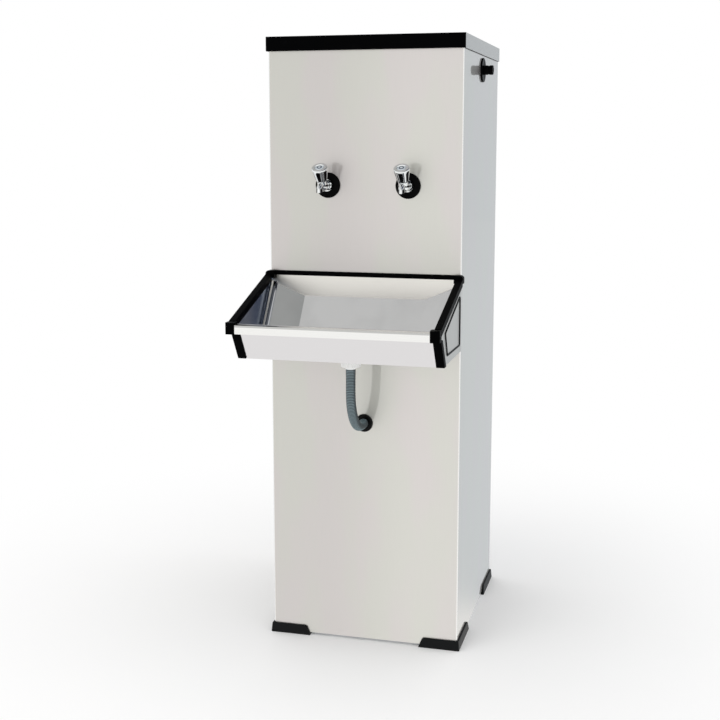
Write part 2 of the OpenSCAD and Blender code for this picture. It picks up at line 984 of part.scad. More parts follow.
module cheek() {
    color([0.78, 0.79, 0.80])
    difference() {
        extrude_x(cheek_in, side_x)
            polygon(cheek_outline);
        extrude_x(side_x - groove_t, side_x + 1)
            difference() {
                polygon(groove_outline);
                polygon(grown(groove_outline, -groove_w));
            }
    }
}

module basin_cheek_right() {
    cheek();
}

module basin_cheek_left() {
    mirror([1, 0, 0])
        cheek();
}

// Room for a cheek in the black pieces that sit over it
module cheek_blank() {
    extrude_x(cheek_in - 0.02, side_x)
        polygon(cheek_outline);
}

// Black channel over the sloping edge of a cheek
module edge_trim() {
    v0 = back_cap_len;
    v1 = basin_depth - cap_len;
    mid = side_x - cheek_t / 2;
    color([0.06, 0.06, 0.07])
    difference() {
        extrude_x(mid - trim_w / 2, mid + trim_w / 2)
            polygon([
                at_v(v0, rim_z(v0) - trim_down), at_v(v0, rim_z(v0) + trim_up),
                at_v(v1, rim_z(v1) + trim_up), at_v(v1, rim_z(v1) - trim_down)
            ]);
        cheek_blank();
        bowl_sheet();
        extrude_x(-cheek_in - 1, cheek_in + 1)
            polygon([
                at_v(apron_foot - bowl_t / 2, basin_bottom_z), at_v(apron_top - bowl_t / 2, lip_top_z),
                at_v(basin_depth, lip_top_z), at_v(basin_depth, basin_bottom_z)
            ]);
    }
}

module basin_trim_right() {
    edge_trim();
}

module basin_trim_left() {
    mirror([1, 0, 0])
        edge_trim();
}

module basin_trim_back() {
    x = side_x - cap_in;
    color([0.06, 0.06, 0.07])
    difference() {
        extrude_x(-x, x)
            polygon([
                at_v(0, basin_back_z - 3), at_v(0, basin_back_z + 6.5), at_v(5, basin_back_z + 6.5),
                at_v(8, basin_back_z + 4.5), at_v(8, basin_back_z - 3)
            ]);
        bowl_sheet();
    }
}

module basin_corner_caps() {
    front_v = basin_depth - cap_len;
    x0 = side_x - cap_in;
    x1 = side_x + cap_out;
    color([0.06, 0.06, 0.07])
    both_sides() {
        difference() {
            translate([x0, front_y - basin_depth - 0.8, lip_top_z - lip_h - 1])
                linear_extrude(lip_h + 1 + trim_up)
                    offset(r = cap_r)
                        offset(delta = -cap_r)
                            square([cap_in + cap_out, cap_len + 0.8]);
            cheek_blank();
            bowl_sheet();
        }
        difference() {
            extrude_y(front_y - back_cap_len, front_y) {
                translate([x0, basin_back_z - trim_down])
                    square([cap_in + cap_out - 7, trim_down + 7]);
                translate([x1 - 8, basin_back_z - trim_down])
                    square([8, trim_down]);
                translate([x1 - 7, basin_back_z])
                    circle(7);
            }
            cheek_blank();
            bowl_sheet();
        }
    }
}

module basin_edge_strips() {
    z0 = basin_bottom_z;
    z1 = lip_top_z - lip_h - 1;
    color([0.06, 0.06, 0.07])
    both_sides()
        difference() {
            extrude_x(side_x - cap_in, side_x + 4)
                polygon([
                    at_v(apron_v(z0) + 4, z0), at_v(apron_v(z0) - 14, z0),
                    at_v(apron_v(z1) - 14, z1), at_v(apron_v(z1) + 4, z1)
                ]);
            cheek_blank();
            extrude_x(-cheek_in, cheek_in)
                polygon(bowl_outline);
        }
}

// Drain

module drain_strainer() {
    color([0.82, 0.83, 0.84])
    translate([0, drain_y, basin_bottom_z + bowl_t + 1])
        difference() {
            cylinder(d = drain_hole_d, h = 1.2);
            for (k = [0 : 6])
                rotate([0, 0, 60 * k])
                    translate([k == 6 ? 0 : 6, 0, -1])
                        cylinder(d = 3.2, h = 4);
            for (k = [0 : 11])
                rotate([0, 0, 30 * k + 15])
                    translate([11.5, 0, -1])
                        cylinder(d = 3.2, h = 4);
        }
}

module drain_body() {
    top = basin_bottom_z + bowl_t;
    color([0.93, 0.93, 0.91])
    translate([0, drain_y, 0])
        rotate_extrude()
            polygon([
                [drain_hole_d / 2 + 0.2, top + 2.2], [drain_nut_d / 2 - 2, top + 2.2],
                [drain_nut_d / 2, top + 0.6], [drain_nut_d / 2, top], [drain_tube_r, top],
                [drain_tube_r, drain_nut_z + 1], [drain_neck_r, drain_nut_z - 1], [drain_neck_r, hose_top_z],
                [tail_r, hose_top_z], [tail_r, hose_top_z - tail_len],
                [tail_r - 1.6, hose_top_z - tail_len], [tail_r - 1.6, top - 10],
                [drain_hole_d / 2 - 4, top - 4], [drain_hole_d / 2 - 4, top + 1],
                [drain_hole_d / 2 + 0.2, top + 1]
            ]);
}

module drain_gasket() {
    color([0.15, 0.15, 0.16])
    translate([0, drain_y, basin_bottom_z - gasket_t])
        difference() {
            cylinder(d = drain_nut_d - 4, h = gasket_t);
            translate([0, 0, -1])
                cylinder(r = drain_tube_r + 0.2, h = gasket_t + 2);
        }
}

module drain_nut() {
    color([0.93, 0.93, 0.91])
    translate([0, drain_y, drain_nut_z])
        difference() {
            cylinder(d = drain_nut_d, h = drain_nut_t);
            translate([0, 0, -1])
                cylinder(r = drain_tube_r + thread_play / 2, h = drain_nut_t + 2);
            for (k = [0 : 11])
                rotate([0, 0, 30 * k])
                    translate([drain_nut_d / 2 + 1, 0, -1])
                        cylinder(r = 2.4, h = drain_nut_t - 2);
        }
}

// The ribbed hose: one skin along the route, with its bore
function route_at(t) =
    let (n = len(hose_route) - 1, i = min(floor(t * n), n - 1), s = t * n - i)
    let (p0 = hose_route[max(i - 1, 0)], p1 = hose_route[i])
    let (p2 = hose_route[i + 1], p3 = hose_route[min(i + 2, n)])
    let (q = 0.5 * (2 * p1 + (p2 - p0) * s + (2 * p0 - 5 * p1 + 4 * p2 - p3) * s * s
        + (3 * p1 - p0 - 3 * p2 + p3) * s * s * s))
        [0, q[0], q[1]];

module drain_hose() {
    sides = hose_sides;
    rings = 2 * hose_ribs + 1;
    bores = 36;
    path = [for (i = [0 : rings - 1]) route_at(i / (rings - 1))];
    bore = [for (i = [0 : bores]) route_at(i / bores)];
    u = carried(path, [1, 0, 0]);
    w = carried(bore, [1, 0, 0]);
    outer = [
        for (i = [0 : rings - 1])
            let (plain = i < hose_plain || i > rings - 1 - hose_plain)
                each ring(path[i], along(path, i), u[i],
                    hose_d / 2 - (plain || i % 2 == 0 ? 0 : 0.9), sides)
    ];
    inner = [
        for (i = [0 : bores])
            each ring(bore[i], along(bore, i), w[i], hose_bore_d / 2, sides)
    ];
    base = rings * sides;
    last = base + bores * sides;
    ends = [
        for (k = [0 : sides - 1])
            let (j = (k + 1) % sides, a = (rings - 1) * sides)
                each [
                    [k, j, base + j], [k, base + j, base + k],
                    [a + j, a + k, last + k], [a + j, last + k, last + j]
                ]
    ];
    color([0.40, 0.45, 0.47])
    polyhedron(concat(outer, inner),
        concat(skin(rings, sides, 0, false), skin(bores + 1, sides, base, true), ends));
}

module hose_grommet() {
    r = grommet_d / 2;
    color([0.05, 0.05, 0.06])
    translate([0, front_y, hose_z])
        rotate([90, 0, 0])
            rotate_extrude()
                polygon([
                    [hose_d / 2 + 0.3, 5], [r - 3, 5], [r - 1, 4], [r, 2], [r, 0], [r - 4.2, 0],
                    [r - 4.2, -sheet_t], [r - 1.5, -sheet_t], [r - 1.5, -sheet_t - 3],
                    [hose_d / 2 + 0.3, -sheet_t - 3]
                ]);
}

// Rigid waste pipe from the hose to the rear outlet
module pipe_run(r, extra) {
    y0 = front_y + 12 - extra;
    y1 = rear_y - outlet_in + extra;
    b = pipe_bend;
    translate([0, y0, hose_z])
        rotate([-90, 0, 0])
            cylinder(r = r, h = pipe_front_y - b - y0);
    translate([0, pipe_front_y - b, hose_z - b])
        rotate([90, 0, 90])
            rotate_extrude(angle = 90)
                translate([b, 0])
                    circle(r);
    translate([0, pipe_front_y, pipe_z + b])
        cylinder(r = r, h = hose_z - pipe_z - 2 * b);
    translate([-b, pipe_front_y, pipe_z + b])
        rotate([90, 0, 0])
            rotate_extrude(angle = -90)
                translate([b, 0])
                    circle(r);
    translate([pipe_x + b, pipe_front_y, pipe_z])
        rotate([0, 90, 0])
            cylinder(r = r, h = -pipe_x - 2 * b);
    translate([pipe_x + b, pipe_front_y + b, pipe_z])
        rotate([0, 0, 180])
            rotate_extrude(angle = 90)
                translate([b, 0])
                    circle(r);
    translate([pipe_x, pipe_front_y + b, pipe_z])
        rotate([-90, 0, 0])
            cylinder(r = r, h = y1 - pipe_front_y - b);
}

module drain_pipe() {
    color([0.86, 0.86, 0.84])
    difference() {
        union() {
            difference() {
                pipe_run(pipe_r, 0);
                translate([-20, front_y, hose_z - 20])
                    cube([40, 12 + 15, 40]);
            }
            translate([0, front_y + 12, hose_z])
                rotate([-90, 0, 0])
                    cylinder(r = tail_r, h = 16);
        }
        pipe_run(pipe_bore_r, 1);
    }
}

// Bulkhead spigot that carries the waste pipe through the rear panel
module drain_outlet() {
    color([0.86, 0.86, 0.84])
    translate([pipe_x, rear_y + sheet_t, pipe_z])
        rotate([-90, 0, 0])
            difference() {
                union() {
                    translate([0, 0, -sheet_t - outlet_in])
                        cylinder(r = pipe_r, h = sheet_t + outlet_in + pipe_out);
                    cylinder(r = pipe_r + 7, h = 4);
                }
                translate([0, 0, -sheet_t - outlet_in - 1])
                    cylinder(r = pipe_bore_r, h = pipe_out + 30);
            }
}

// Water inlet and float valve

module at_inlet() {
    translate([side_x, 0, inlet_z])
        rotate([0, 90, 0])
            children();
}

module inlet_flange() {
    r = inlet_flange_d / 2;
    bore = inlet_d / 2 + 0.1;
    dish = inlet_flange_t - 1.5;
    color([0.05, 0.05, 0.06])
    at_inlet()
        rotate_extrude()
            polygon([
                [bore, 0], [r, 0], [r, inlet_flange_t - 1], [r - 1, inlet_flange_t],
                [r - 2.5, inlet_flange_t], [bore + 4, dish], [bore, dish]
            ]);
}

// Threaded stem through the wall, valve chamber and hinge ears in one moulding
module float_valve() {
    r = inlet_d / 2;
    wall = side_x - tank_in_x;
    color([0.07, 0.07, 0.08])
    difference() {
        union() {
            at_inlet() {
                rotate_extrude()
                    polygon([
                        [0, -wall - 14], [r, -wall - 14], [r, inlet_reach - 12], [r - 1, inlet_reach - 11],
                        [r - 1, inlet_reach - 9.5], [r, inlet_reach - 8.5], [r, inlet_reach - 1.2],
                        [r - 1.2, inlet_reach], [0, inlet_reach]
                    ]);
                translate([0, 0, -wall - 44])
                    cylinder(r = 13, h = 34);
            }
            for (y = [-9, 4.4])
                extrude_ear(y, y + 4.6);
            translate([hinge_x, 9, hinge_z])
                rotate([90, 0, 0])
                    cylinder(r = hinge_r, h = 18);
        }
        at_inlet()
            translate([0, 0, -wall - 36])
                cylinder(r = 5, h = wall + 36 + inlet_reach + 1);
    }
}

module extrude_ear(y0, y1) {
    extrude_y(y0, y1) {
        translate([hinge_x, hinge_z])
            circle(6);
        translate([hinge_x - 6, hinge_z])
            square([12, inlet_z - hinge_z]);
    }
}

module inlet_nut() {
    color([0.14, 0.14, 0.15])
    translate([tank_in_x - nut_t, 0, inlet_z])
        rotate([0, 90, 0])
            difference() {
                hexagon(inlet_d + 9, nut_t);
                translate([0, 0, -1])
                    cylinder(d = inlet_d + thread_play, h = nut_t + 2);
            }
}

module float_arm() {
    color([0.78, 0.66, 0.40])
    translate([hinge_x, 0, hinge_z])
        difference() {
            union() {
                extrude_y(-4, 4)
                    circle(6);
                rotate([0, -90 - float_angle, 0])
                    cylinder(d = 5, h = float_arm_len - float_d / 2 + 8);
            }
            translate([0, 5, 0])
                rotate([90, 0, 0])
                    cylinder(d = 2 * hinge_r + run_play, h = 10);
        }
}

module float_ball() {
    color([0.90, 0.88, 0.80])
    translate([hinge_x, 0, hinge_z])
        rotate([0, -90 - float_angle, 0])
            translate([0, 0, float_arm_len])
                difference() {
                    sphere(d = float_d);
                    translate([0, 0, -float_d / 2 - 1])
                        cylinder(d = 5.1, h = 9.1);
                }
}

// Tank, foam jacket and shelf

module tap_bores(r) {
    for (side = [-1, 1])
        at_tap(side)
            rotate([-90, 0, 0])
                cylinder(r = r, h = shank_in + 4);
}

module inlet_bore(r) {
    translate([tank_in_x - 2, 0, inlet_z])
        rotate([0, 90, 0])
            cylinder(r = r, h = side_x - tank_in_x + 4);
}

module coil_bores() {
    for (y = [coil_r, coil_r - tail_in])
        translate([0, y, tail_z - 1])
            cylinder(d = coil_tube_d + 2 * hole_play, h = tank_z0 + tank_wall - tail_z + 2);
}

module tank() {
    color([0.88, 0.89, 0.90])
    difference() {
        translate([0, 0, tank_z0])
            linear_extrude(tank_top - tank_z0)
                round_box(tank_x, tank_front, tank_rear, tank_r);
        translate([0, 0, tank_z0 + tank_wall])
            linear_extrude(tank_top - tank_z0)
                round_box(tank_in_x, tank_in_front, tank_rear - tank_wall, tank_r - tank_wall);
        tap_bores(shank_r + hole_play);
        inlet_bore(inlet_d / 2 + hole_play);
        coil_bores();
    }
}

module tank_foam() {
    color([0.93, 0.90, 0.72])
    difference() {
        translate([-inner_x, inner_front, shelf_z])
            cube([2 * inner_x, inner_rear - inner_front, tank_top - shelf_z]);
        translate([0, 0, tank_z0])
            linear_extrude(tank_top)
                round_box(tank_x, tank_front, tank_rear, tank_r);
        both_sides()
            translate([inner_x - bend_r, inner_front - 1, shelf_z - 1])
                cube([bend_r + 1, bend_r + 1, tank_top]);
        both_sides()
            translate([inner_x - rear_flange_w, inner_rear - screw_len, shelf_z - 1])
                cube([rear_flange_w + 1, screw_len + 1, tank_top]);
        tap_bores(shank_r + 1);
        inlet_bore(inlet_d / 2 + 1);
        coil_bores();
    }
}

module tank_cover() {
    color([0.92, 0.92, 0.90])
    translate([0, 0, tank_top]) {
        linear_extrude(cover_t)
            round_box(inner_x - cover_in, inner_front + cover_in, inner_rear - cover_in, tank_r);
        translate([0, 0, cover_t - 1])
            cylinder(d = cover_grip_d, h = cover_grip_h);
    }
}

module tank_shelf() {
    flange = 20;
    color([0.60, 0.62, 0.63])
    difference() {
        translate([-inner_x, inner_front + bend_r, shelf_z - flange])
            cube([2 * inner_x, inner_rear - inner_front - bend_r, flange]);
        translate([-inner_x + sheet_t, inner_front + bend_r + sheet_t, shelf_z - flange - sheet_t])
            cube([2 * (inner_x - sheet_t), inner_rear - inner_front - bend_r - 2 * sheet_t, flange]);
        coil_bores();
    }
}

// Cooling coil: a helix whose two ends drop through the tank's floor
module evaporator_coil() {
    steps = 24;
    top = coil_z + coil_turns * coil_pitch;
    helix = [
        for (i = [0 : coil_turns * steps])
            let (a = 90 + 360 * i / steps)
                [coil_r * cos(a), coil_r * sin(a), coil_z + coil_pitch * i / steps]
    ];
    path = concat(
        [[0, coil_r, tail_z], [0, coil_r, tail_z + 20], [0, coil_r, coil_z - 14],
            [-4, coil_r, coil_z - 4]],
        [for (i = [1 : coil_turns * steps - 1]) helix[i]],
        [[2, coil_r - 8, top + 6], [0, coil_r - tail_in + 6, top + 6],
            [0, coil_r - tail_in, top], [0, coil_r - tail_in, top - 12],
            [0, coil_r - tail_in, tail_z + 20], [0, coil_r - tail_in, tail_z]]);
    color([0.80, 0.55, 0.38])
    rod(path, coil_tube_d / 2, 8, [1, 0, 0]);
}

// Cooling unit on the tray

mount_x = compressor_d / 2 + 12;
mount_y = 42;

module compressor() {
    r = compressor_d / 2;
    h = compressor_h;
    color([0.10, 0.10, 0.11])
    translate([comp_x, comp_y, comp_z]) {
        rotate_extrude()
            polygon(concat(
                [[0, 0], [r - 22, 0], [r - 4, 12], [r - 4, h * 0.55], [r, h * 0.55], [r, h * 0.55 + 4],
                    [r - 4, h * 0.55 + 4]],
                [for (a = [0 : 15 : 90]) [(r - 4) * cos(a), h * 0.62 + h * 0.38 * sin(a)]]));
        difference() {
            translate([-mount_x - 12, -mount_y - 14, -plate_t])
                cube([2 * mount_x + 24, 2 * mount_y + 28, plate_t + 0.5]);
            for (x = [-mount_x, mount_x])
                for (y = [-mount_y, mount_y])
                    translate([x, y, -plate_t - 1])
                        cylinder(d = 9, h = plate_t + 3);
        }
        translate([-30, -r - 18, 40])
            cube([60, 30, 50]);
    }
}

module compressor_mounts() {
    color([0.14, 0.14, 0.15])
    for (x = [-mount_x, mount_x])
        for (y = [-mount_y, mount_y])
            translate([comp_x + x, comp_y + y, tray_top]) {
                cylinder(d = 22, h = mount_h);
                cylinder(d = 8.6, h = mount_h + plate_t + 4);
            }
}

module condenser() {
    fins = 24;
    tubes = 5;
    pitch = (condenser_w - 8) / (fins - 1);
    row = condenser_h / tubes;
    color([0.70, 0.71, 0.72])
    translate([cond_x - condenser_w / 2, cond_y, cond_z]) {
        for (i = [0 : fins - 1])
            translate([4 + i * pitch - 0.4, 0, 0])
                cube([0.8, cond_t, condenser_h]);
        for (x = [0, condenser_w - 2])
            translate([x, 0, tray_top - cond_z])
                cube([2, cond_t, condenser_h + cond_z - tray_top]);
        for (k = [0 : tubes - 1])
            translate([-6, cond_t / 2, row * (k + 0.5)])
                rotate([0, 90, 0])
                    cylinder(d = 9, h = condenser_w + 12);
    }
}

module fan_motor() {
    color([0.30, 0.31, 0.33])
    translate([cond_x, fan_y, fan_z])
        rotate([90, 0, 0])
            difference() {
                union() {
                    translate([0, 0, motor_s])
                        cylinder(d = motor_d, h = motor_len);
                    translate([0, 0, 4 - motor_s])
                        cylinder(d = fan_shaft_d, h = 2 * motor_s);
                }
                translate([0, 0, motor_s + motor_len - 4])
                    cylinder(d = motor_d - 26, h = 10);
            }
    color([0.50, 0.52, 0.53])
    translate([cond_x - bracket_w / 2, fan_y - motor_s - motor_len / 2 - bracket_foot, tray_top]) {
        translate([0, bracket_foot - bracket_t, 0])
            cube([bracket_w, bracket_t, fan_z - tray_top - motor_d / 2 + 2.5]);
        cube([bracket_w, bracket_foot, bracket_t]);
    }
}

module fan_blade() {
    color([0.16, 0.17, 0.19])
    translate([cond_x, fan_y, fan_z])
        rotate([90, 0, 0])
            difference() {
                union() {
                    translate([0, 0, -fan_hub_t / 2])
                        cylinder(d = fan_hub_d, h = fan_hub_t);
                    for (k = [0 : 4])
                        rotate([0, 0, 72 * k])
                            translate([fan_hub_d / 2 - 4, 0, 0])
                                rotate([28, 0, 0])
                                    translate([0, -fan_chord / 2, -1])
                                        cube([fan_d / 2 - fan_hub_d / 2, fan_chord, 2]);
                }
                translate([0, 0, -fan_hub_t])
                    cylinder(d = fan_shaft_d + run_play, h = 2 * fan_hub_t);
            }
}

// Copper lines between compressor, condenser, drier and coil
module refrigerant_lines() {
    left = cond_x - condenser_w / 2 - 6;
    right = cond_x + condenser_w / 2 + 6;
    mid_y = cond_y + cond_t / 2;
    row = condenser_h / 5;
    top_z = cond_z + row * 4.5;
    low_z = cond_z + row * 0.5;
    shell_x = comp_x - compressor_d / 2 + 4;
    shell_z = comp_z + compressor_h * 0.4;
    hot_x = comp_x + compressor_d / 2 - 4;
    mid_z = (tail_z + shell_z) / 2;
    drier_x = left - drier_r - 14;
    drier_y = mid_y - drier_r;
    drier_z = low_z + 2 * line_bend;
    color([0.78, 0.50, 0.34]) {
        rod([[0, coil_r, tail_z], [0, coil_r, tail_z - line_bend],
            [-line_bend, coil_r - line_bend, tail_z - 3 * line_bend],
            [left - line_bend, fan_y, mid_z],
            [left - line_bend, fan_y - 2 * line_bend, (mid_z + shell_z) / 2],
            [left - line_bend, comp_y + line_bend / 3, shell_z + line_bend],
            [left - line_bend / 3, comp_y, shell_z], [shell_x - line_bend / 2, comp_y, shell_z],
            [shell_x, comp_y, shell_z]],
            suction_r, 8, [1, 0, 0]);
        rod([[hot_x, comp_y, shell_z], [hot_x + line_bend / 2, comp_y, shell_z],
            [right + line_bend / 2, comp_y + line_bend, shell_z + line_bend],
            [right + line_bend / 2, mid_y - line_bend, top_z],
            [right + line_bend / 2, mid_y, top_z], [right, mid_y, top_z]], liquid_r, 8, [0, 0, 1]);
        rod([[left, mid_y, low_z], [left - line_bend / 2, mid_y, low_z],
            [drier_x, drier_y, low_z + line_bend / 2], [drier_x, drier_y, drier_z]], liquid_r, 8, [0, 0, 1]);
        rod([[drier_x, drier_y, drier_z], [drier_x, drier_y, drier_z + drier_len]], drier_r, 12, [1, 0, 0]);
        rod([[drier_x, drier_y, drier_z + drier_len], [drier_x, drier_y, drier_z + drier_len + line_bend],
            [-line_bend / 2, coil_r - tail_in - line_bend / 3, tail_z - 4 * line_bend],
            [0, coil_r - tail_in, tail_z - line_bend],
            [0, coil_r - tail_in, tail_z]], capillary_r, 8, [1, 0, 0]);
    }
}

module thermostat() {
    color([0.20, 0.21, 0.22])
    translate([dial_x, rear_y, dial_z])
        difference() {
            union() {
                translate([-22, -32, -26])
                    cube([44, 32, 52]);
                translate([0, -1, 0])
                    rotate([-90, 0, 0])
                        cylinder(d = 7.6, h = sheet_t + 3);
            }
            translate([0, -14, 0])
                rotate([-90, 0, 0])
                    cylinder(d = 5 + run_play, h = 30);
        }
}

module thermostat_knob() {
    color([0.08, 0.08, 0.09])
    translate([dial_x, rear_y + sheet_t + 2.5, dial_z])
        rotate([-90, 0, 0]) {
            difference() {
                cylinder(d = 36, h = 14);
                translate([0, 0, 3])
                    both_sides()
                        translate([4, -20, 0])
                            cube([20, 40, 20]);
            }
            cylinder(d = 36, h = 3);
            translate([0, 0, -15.5])
                cylinder(d = 5, h = 17);
        }
}

module cable_gland() {
    color([0.10, 0.10, 0.11])
    translate([gland_x, rear_y + sheet_t, gland_z])
        rotate([-90, 0, 0])
            difference() {
                union() {
                    hexagon(22, 6);
                    cylinder(d1 = 19, d2 = 14, h = 17);
                    translate([0, 0, -sheet_t - 9])
                        cylinder(d = 16, h = sheet_t + 10);
                    translate([0, 0, -sheet_t - 6])
                        hexagon(21, 6);
                }
                translate([0, 0, -sheet_t - 10])
                    cylinder(d = 8, h = 40);
            }
}

cabinet_shell();
rear_panel();
base_tray();
tank_shelf();
corner_feet();
top_lid();
lid_front_trim();
panel_screws();
tap_rosette_left();
tap_rosette_right();
tap_body_left();
tap_body_right();
tap_bonnet_left();
tap_bonnet_right();
tap_spindle_left();
tap_spindle_right();
tap_knob_left();
tap_knob_right();
tap_cap_left();
tap_cap_right();
tap_jumper_left();
tap_jumper_right();
tap_washer_left();
tap_washer_right();
tap_backnuts();
basin_bowl();
basin_cheek_left();
basin_cheek_right();
basin_trim_left();
basin_trim_right();
basin_trim_back();
basin_corner_caps();
basin_edge_strips();
basin_nuts();
drain_strainer();
drain_body();
drain_gasket();
drain_nut();
drain_hose();
hose_grommet();
drain_pipe();
drain_outlet();
inlet_flange();
float_valve();
inlet_nut();
float_arm();
float_ball();
tank();
tank_foam();
tank_cover();
evaporator_coil();
compressor();
compressor_mounts();
condenser();
fan_motor();
fan_blade();
refrigerant_lines();
thermostat();
thermostat_knob();
cable_gland();
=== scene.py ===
# Looks of a floor-standing stainless water cooler, built round its packed construction.
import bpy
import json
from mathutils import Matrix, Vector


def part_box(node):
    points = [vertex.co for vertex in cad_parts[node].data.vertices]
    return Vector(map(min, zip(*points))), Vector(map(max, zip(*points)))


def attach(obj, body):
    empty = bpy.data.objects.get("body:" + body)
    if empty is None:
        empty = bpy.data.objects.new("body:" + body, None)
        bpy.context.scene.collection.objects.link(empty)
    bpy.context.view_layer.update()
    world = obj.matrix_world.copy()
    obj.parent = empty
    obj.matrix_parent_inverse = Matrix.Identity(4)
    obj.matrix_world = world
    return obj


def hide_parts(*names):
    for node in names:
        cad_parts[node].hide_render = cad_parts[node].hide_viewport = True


bl_info = {
    "name": "Stainless water cooler looks",
    "version": (1, 0, 0),
    "blender": (4, 5, 0),
    "location": "View3D > Sidebar > Cooler",
    "description": "Finishes, drain hose, small trim and studio for a stainless water cooler",
    "category": "Object",
}

import json
import math

import bpy
from bpy.props import FloatProperty, FloatVectorProperty, IntProperty, PointerProperty
from mathutils import Vector

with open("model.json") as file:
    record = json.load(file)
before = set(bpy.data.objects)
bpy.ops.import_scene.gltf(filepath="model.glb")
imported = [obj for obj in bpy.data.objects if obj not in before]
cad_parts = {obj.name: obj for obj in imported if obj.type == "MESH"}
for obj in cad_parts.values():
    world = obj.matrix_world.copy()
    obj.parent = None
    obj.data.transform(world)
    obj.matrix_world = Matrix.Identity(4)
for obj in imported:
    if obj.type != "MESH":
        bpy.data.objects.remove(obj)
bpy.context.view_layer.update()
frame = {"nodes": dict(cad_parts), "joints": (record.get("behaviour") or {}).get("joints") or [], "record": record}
NODES = frame["nodes"]

# Places that the looks follow, read from the construction
MM = 0.001
SHELL_LOW, SHELL_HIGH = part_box("cabinet_shell")
FRONT_Y = SHELL_LOW.y
BOWL_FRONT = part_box("basin_bowl")[0].y
LID_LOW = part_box("top_lid")[0].z
JOINTS = {joint["name"]: joint for joint in frame["joints"]}
SIDES = ("left", "right")

# Colours of the lesser pieces and of the studio's air
CHROME = (0.88, 0.90, 0.91)
SCREW_STEEL = (0.62, 0.62, 0.60)
BRASS = (0.72, 0.56, 0.28)
COPPER = (0.78, 0.42, 0.26)
ALUMINIUM = (0.72, 0.73, 0.74)
RUBBER = (0.02, 0.02, 0.02)
DARK_PLASTIC = (0.018, 0.018, 0.020)
PAINT_BLACK = (0.012, 0.012, 0.014)
MARK_WHITE = (0.85, 0.85, 0.84)
MOTOR_GREY = (0.10, 0.105, 0.115)
AIR_WHITE = (1.0, 1.0, 1.0)


class Wire:
    """A shader socket that can stand in a sum: each operator adds a Math node."""

    def __init__(self, paint, socket):
        self.paint = paint
        self.socket = socket

    def math(self, operation, *others):
        values = dict(enumerate((self, *others)))
        return self.paint.node("ShaderNodeMath", {"operation": operation}, values)

    def turned(self, operation, other):
        return self.paint.node("ShaderNodeMath", {"operation": operation}, {0: other, 1: self})

    def __add__(self, other):
        return self.math("ADD", other)

    def __radd__(self, other):
        return self.turned("ADD", other)

    def __sub__(self, other):
        return self.math("SUBTRACT", other)

    def __rsub__(self, other):
        return self.turned("SUBTRACT", other)

    def __mul__(self, other):
        return self.math("MULTIPLY", other)

    def __rmul__(self, other):
        return self.turned("MULTIPLY", other)

    def __truediv__(self, other):
        return self.math("DIVIDE", other)

    def __rtruediv__(self, other):
        return self.turned("DIVIDE", other)

    def __pow__(self, other):
        return self.math("POWER", other)

    def __rpow__(self, other):
        return self.turned("POWER", other)

    def __gt__(self, other):
        return self.math("GREATER_THAN", other)

    def __lt__(self, other):
        return self.math("LESS_THAN", other)

    def __abs__(self):
        return self.math("ABSOLUTE")

    def between(self, low, high):
        """0 below low, 1 above high, with an even rise between them."""
        inputs = {"Value": self, "From Min": low, "From Max": high}
        settings = {"interpolation_type": "SMOOTHSTEP"}
        return self.paint.node("ShaderNodeMapRange", settings, inputs)


class Paint:
    """The node tree of one material or world, and the ways to fill it."""

    def __init__(self, owner):
        self.owner = owner
        owner.use_nodes = True
        self.tree = owner.node_tree
        self.tree.nodes.clear()

    def node(self, kind, settings=None, inputs=None, output=0):
        """Adds a node: settings first, then the values or links of its sockets."""
        made = self.tree.nodes.new(kind)
        for name, value in (settings or {}).items():
            setattr(made, name, value)
        for name, value in (inputs or {}).items():
            socket = made.inputs[name]
            if isinstance(value, Wire):
                self.tree.links.new(value.socket, socket)
            elif isinstance(socket.default_value, float):
                socket.default_value = value
            else:
                length = len(socket.default_value)
                socket.default_value = (*value, 1.0)[:length]
        return Wire(self, made.outputs[output]) if made.outputs else None

    def place(self):
        """The point on the piece, in metres in the part's own frame."""
        return self.node("ShaderNodeTexCoord", None, None, "Object")

    def parts(self, vector):
        split = self.node("ShaderNodeSeparateXYZ", None, {0: vector})
        return [Wire(self, socket) for socket in split.socket.node.outputs]

    def rays(self, *kinds):
        """Which kind of ray arrives, as wires of 0 or 1."""
        outputs = self.node("ShaderNodeLightPath").socket.node.outputs
        return [Wire(self, outputs[f"Is {kind} Ray"]) for kind in kinds]

    def stretched(self, vector, scale):
        inputs = {"Vector": vector, "Scale": scale}
        return self.node("ShaderNodeMapping", None, inputs)

    def noise(self, vector, scale, detail=3.0, roughness=0.5):
        inputs = {"Vector": vector, "Scale": scale, "Detail": detail, "Roughness": roughness}
        return self.node("ShaderNodeTexNoise", None, inputs)

    def cells(self, vector, scale, output="Distance"):
        inputs = {"Vector": vector, "Scale": scale}
        return self.node("ShaderNodeTexVoronoi", None, inputs, output)

    def mixed(self, factor, first, second):
        """Goes from the first colour to the second as the factor goes from 0 to 1."""
        inputs = {0: factor, 6: first, 7: second}
        return self.node("ShaderNodeMix", {"data_type": "RGBA"}, inputs, 2)

    def scaled(self, color, factor):
        inputs = {"Vector": color, "Scale": factor}
        return self.node("ShaderNodeVectorMath", {"operation": "SCALE"}, inputs)

    def bumped(self, height, distance):
        inputs = {"Height": height, "Distance": distance, "Strength": 1.0}
        return self.node("ShaderNodeBump", None, inputs)

    def finish(self, **sockets):
        """Ends the material in one surface shader; words in names are joined by _."""
        names = {"specular": "Specular IOR Level", "coat_ior": "Coat IOR"}
        inputs = {names.get(k, k.replace("_", " ").title()): v for k, v in sockets.items()}
        shader = self.node("ShaderNodeBsdfPrincipled", None, inputs)
        self.node("ShaderNodeOutputMaterial", None, {"Surface": shader})
        return self.owner


def new_paint(name):
    return Paint(bpy.data.materials.new(name))


def toned(color, factor):
    """A colour made lighter or darker, white at most."""
    return tuple(min(1.0, c * factor) for c in color)


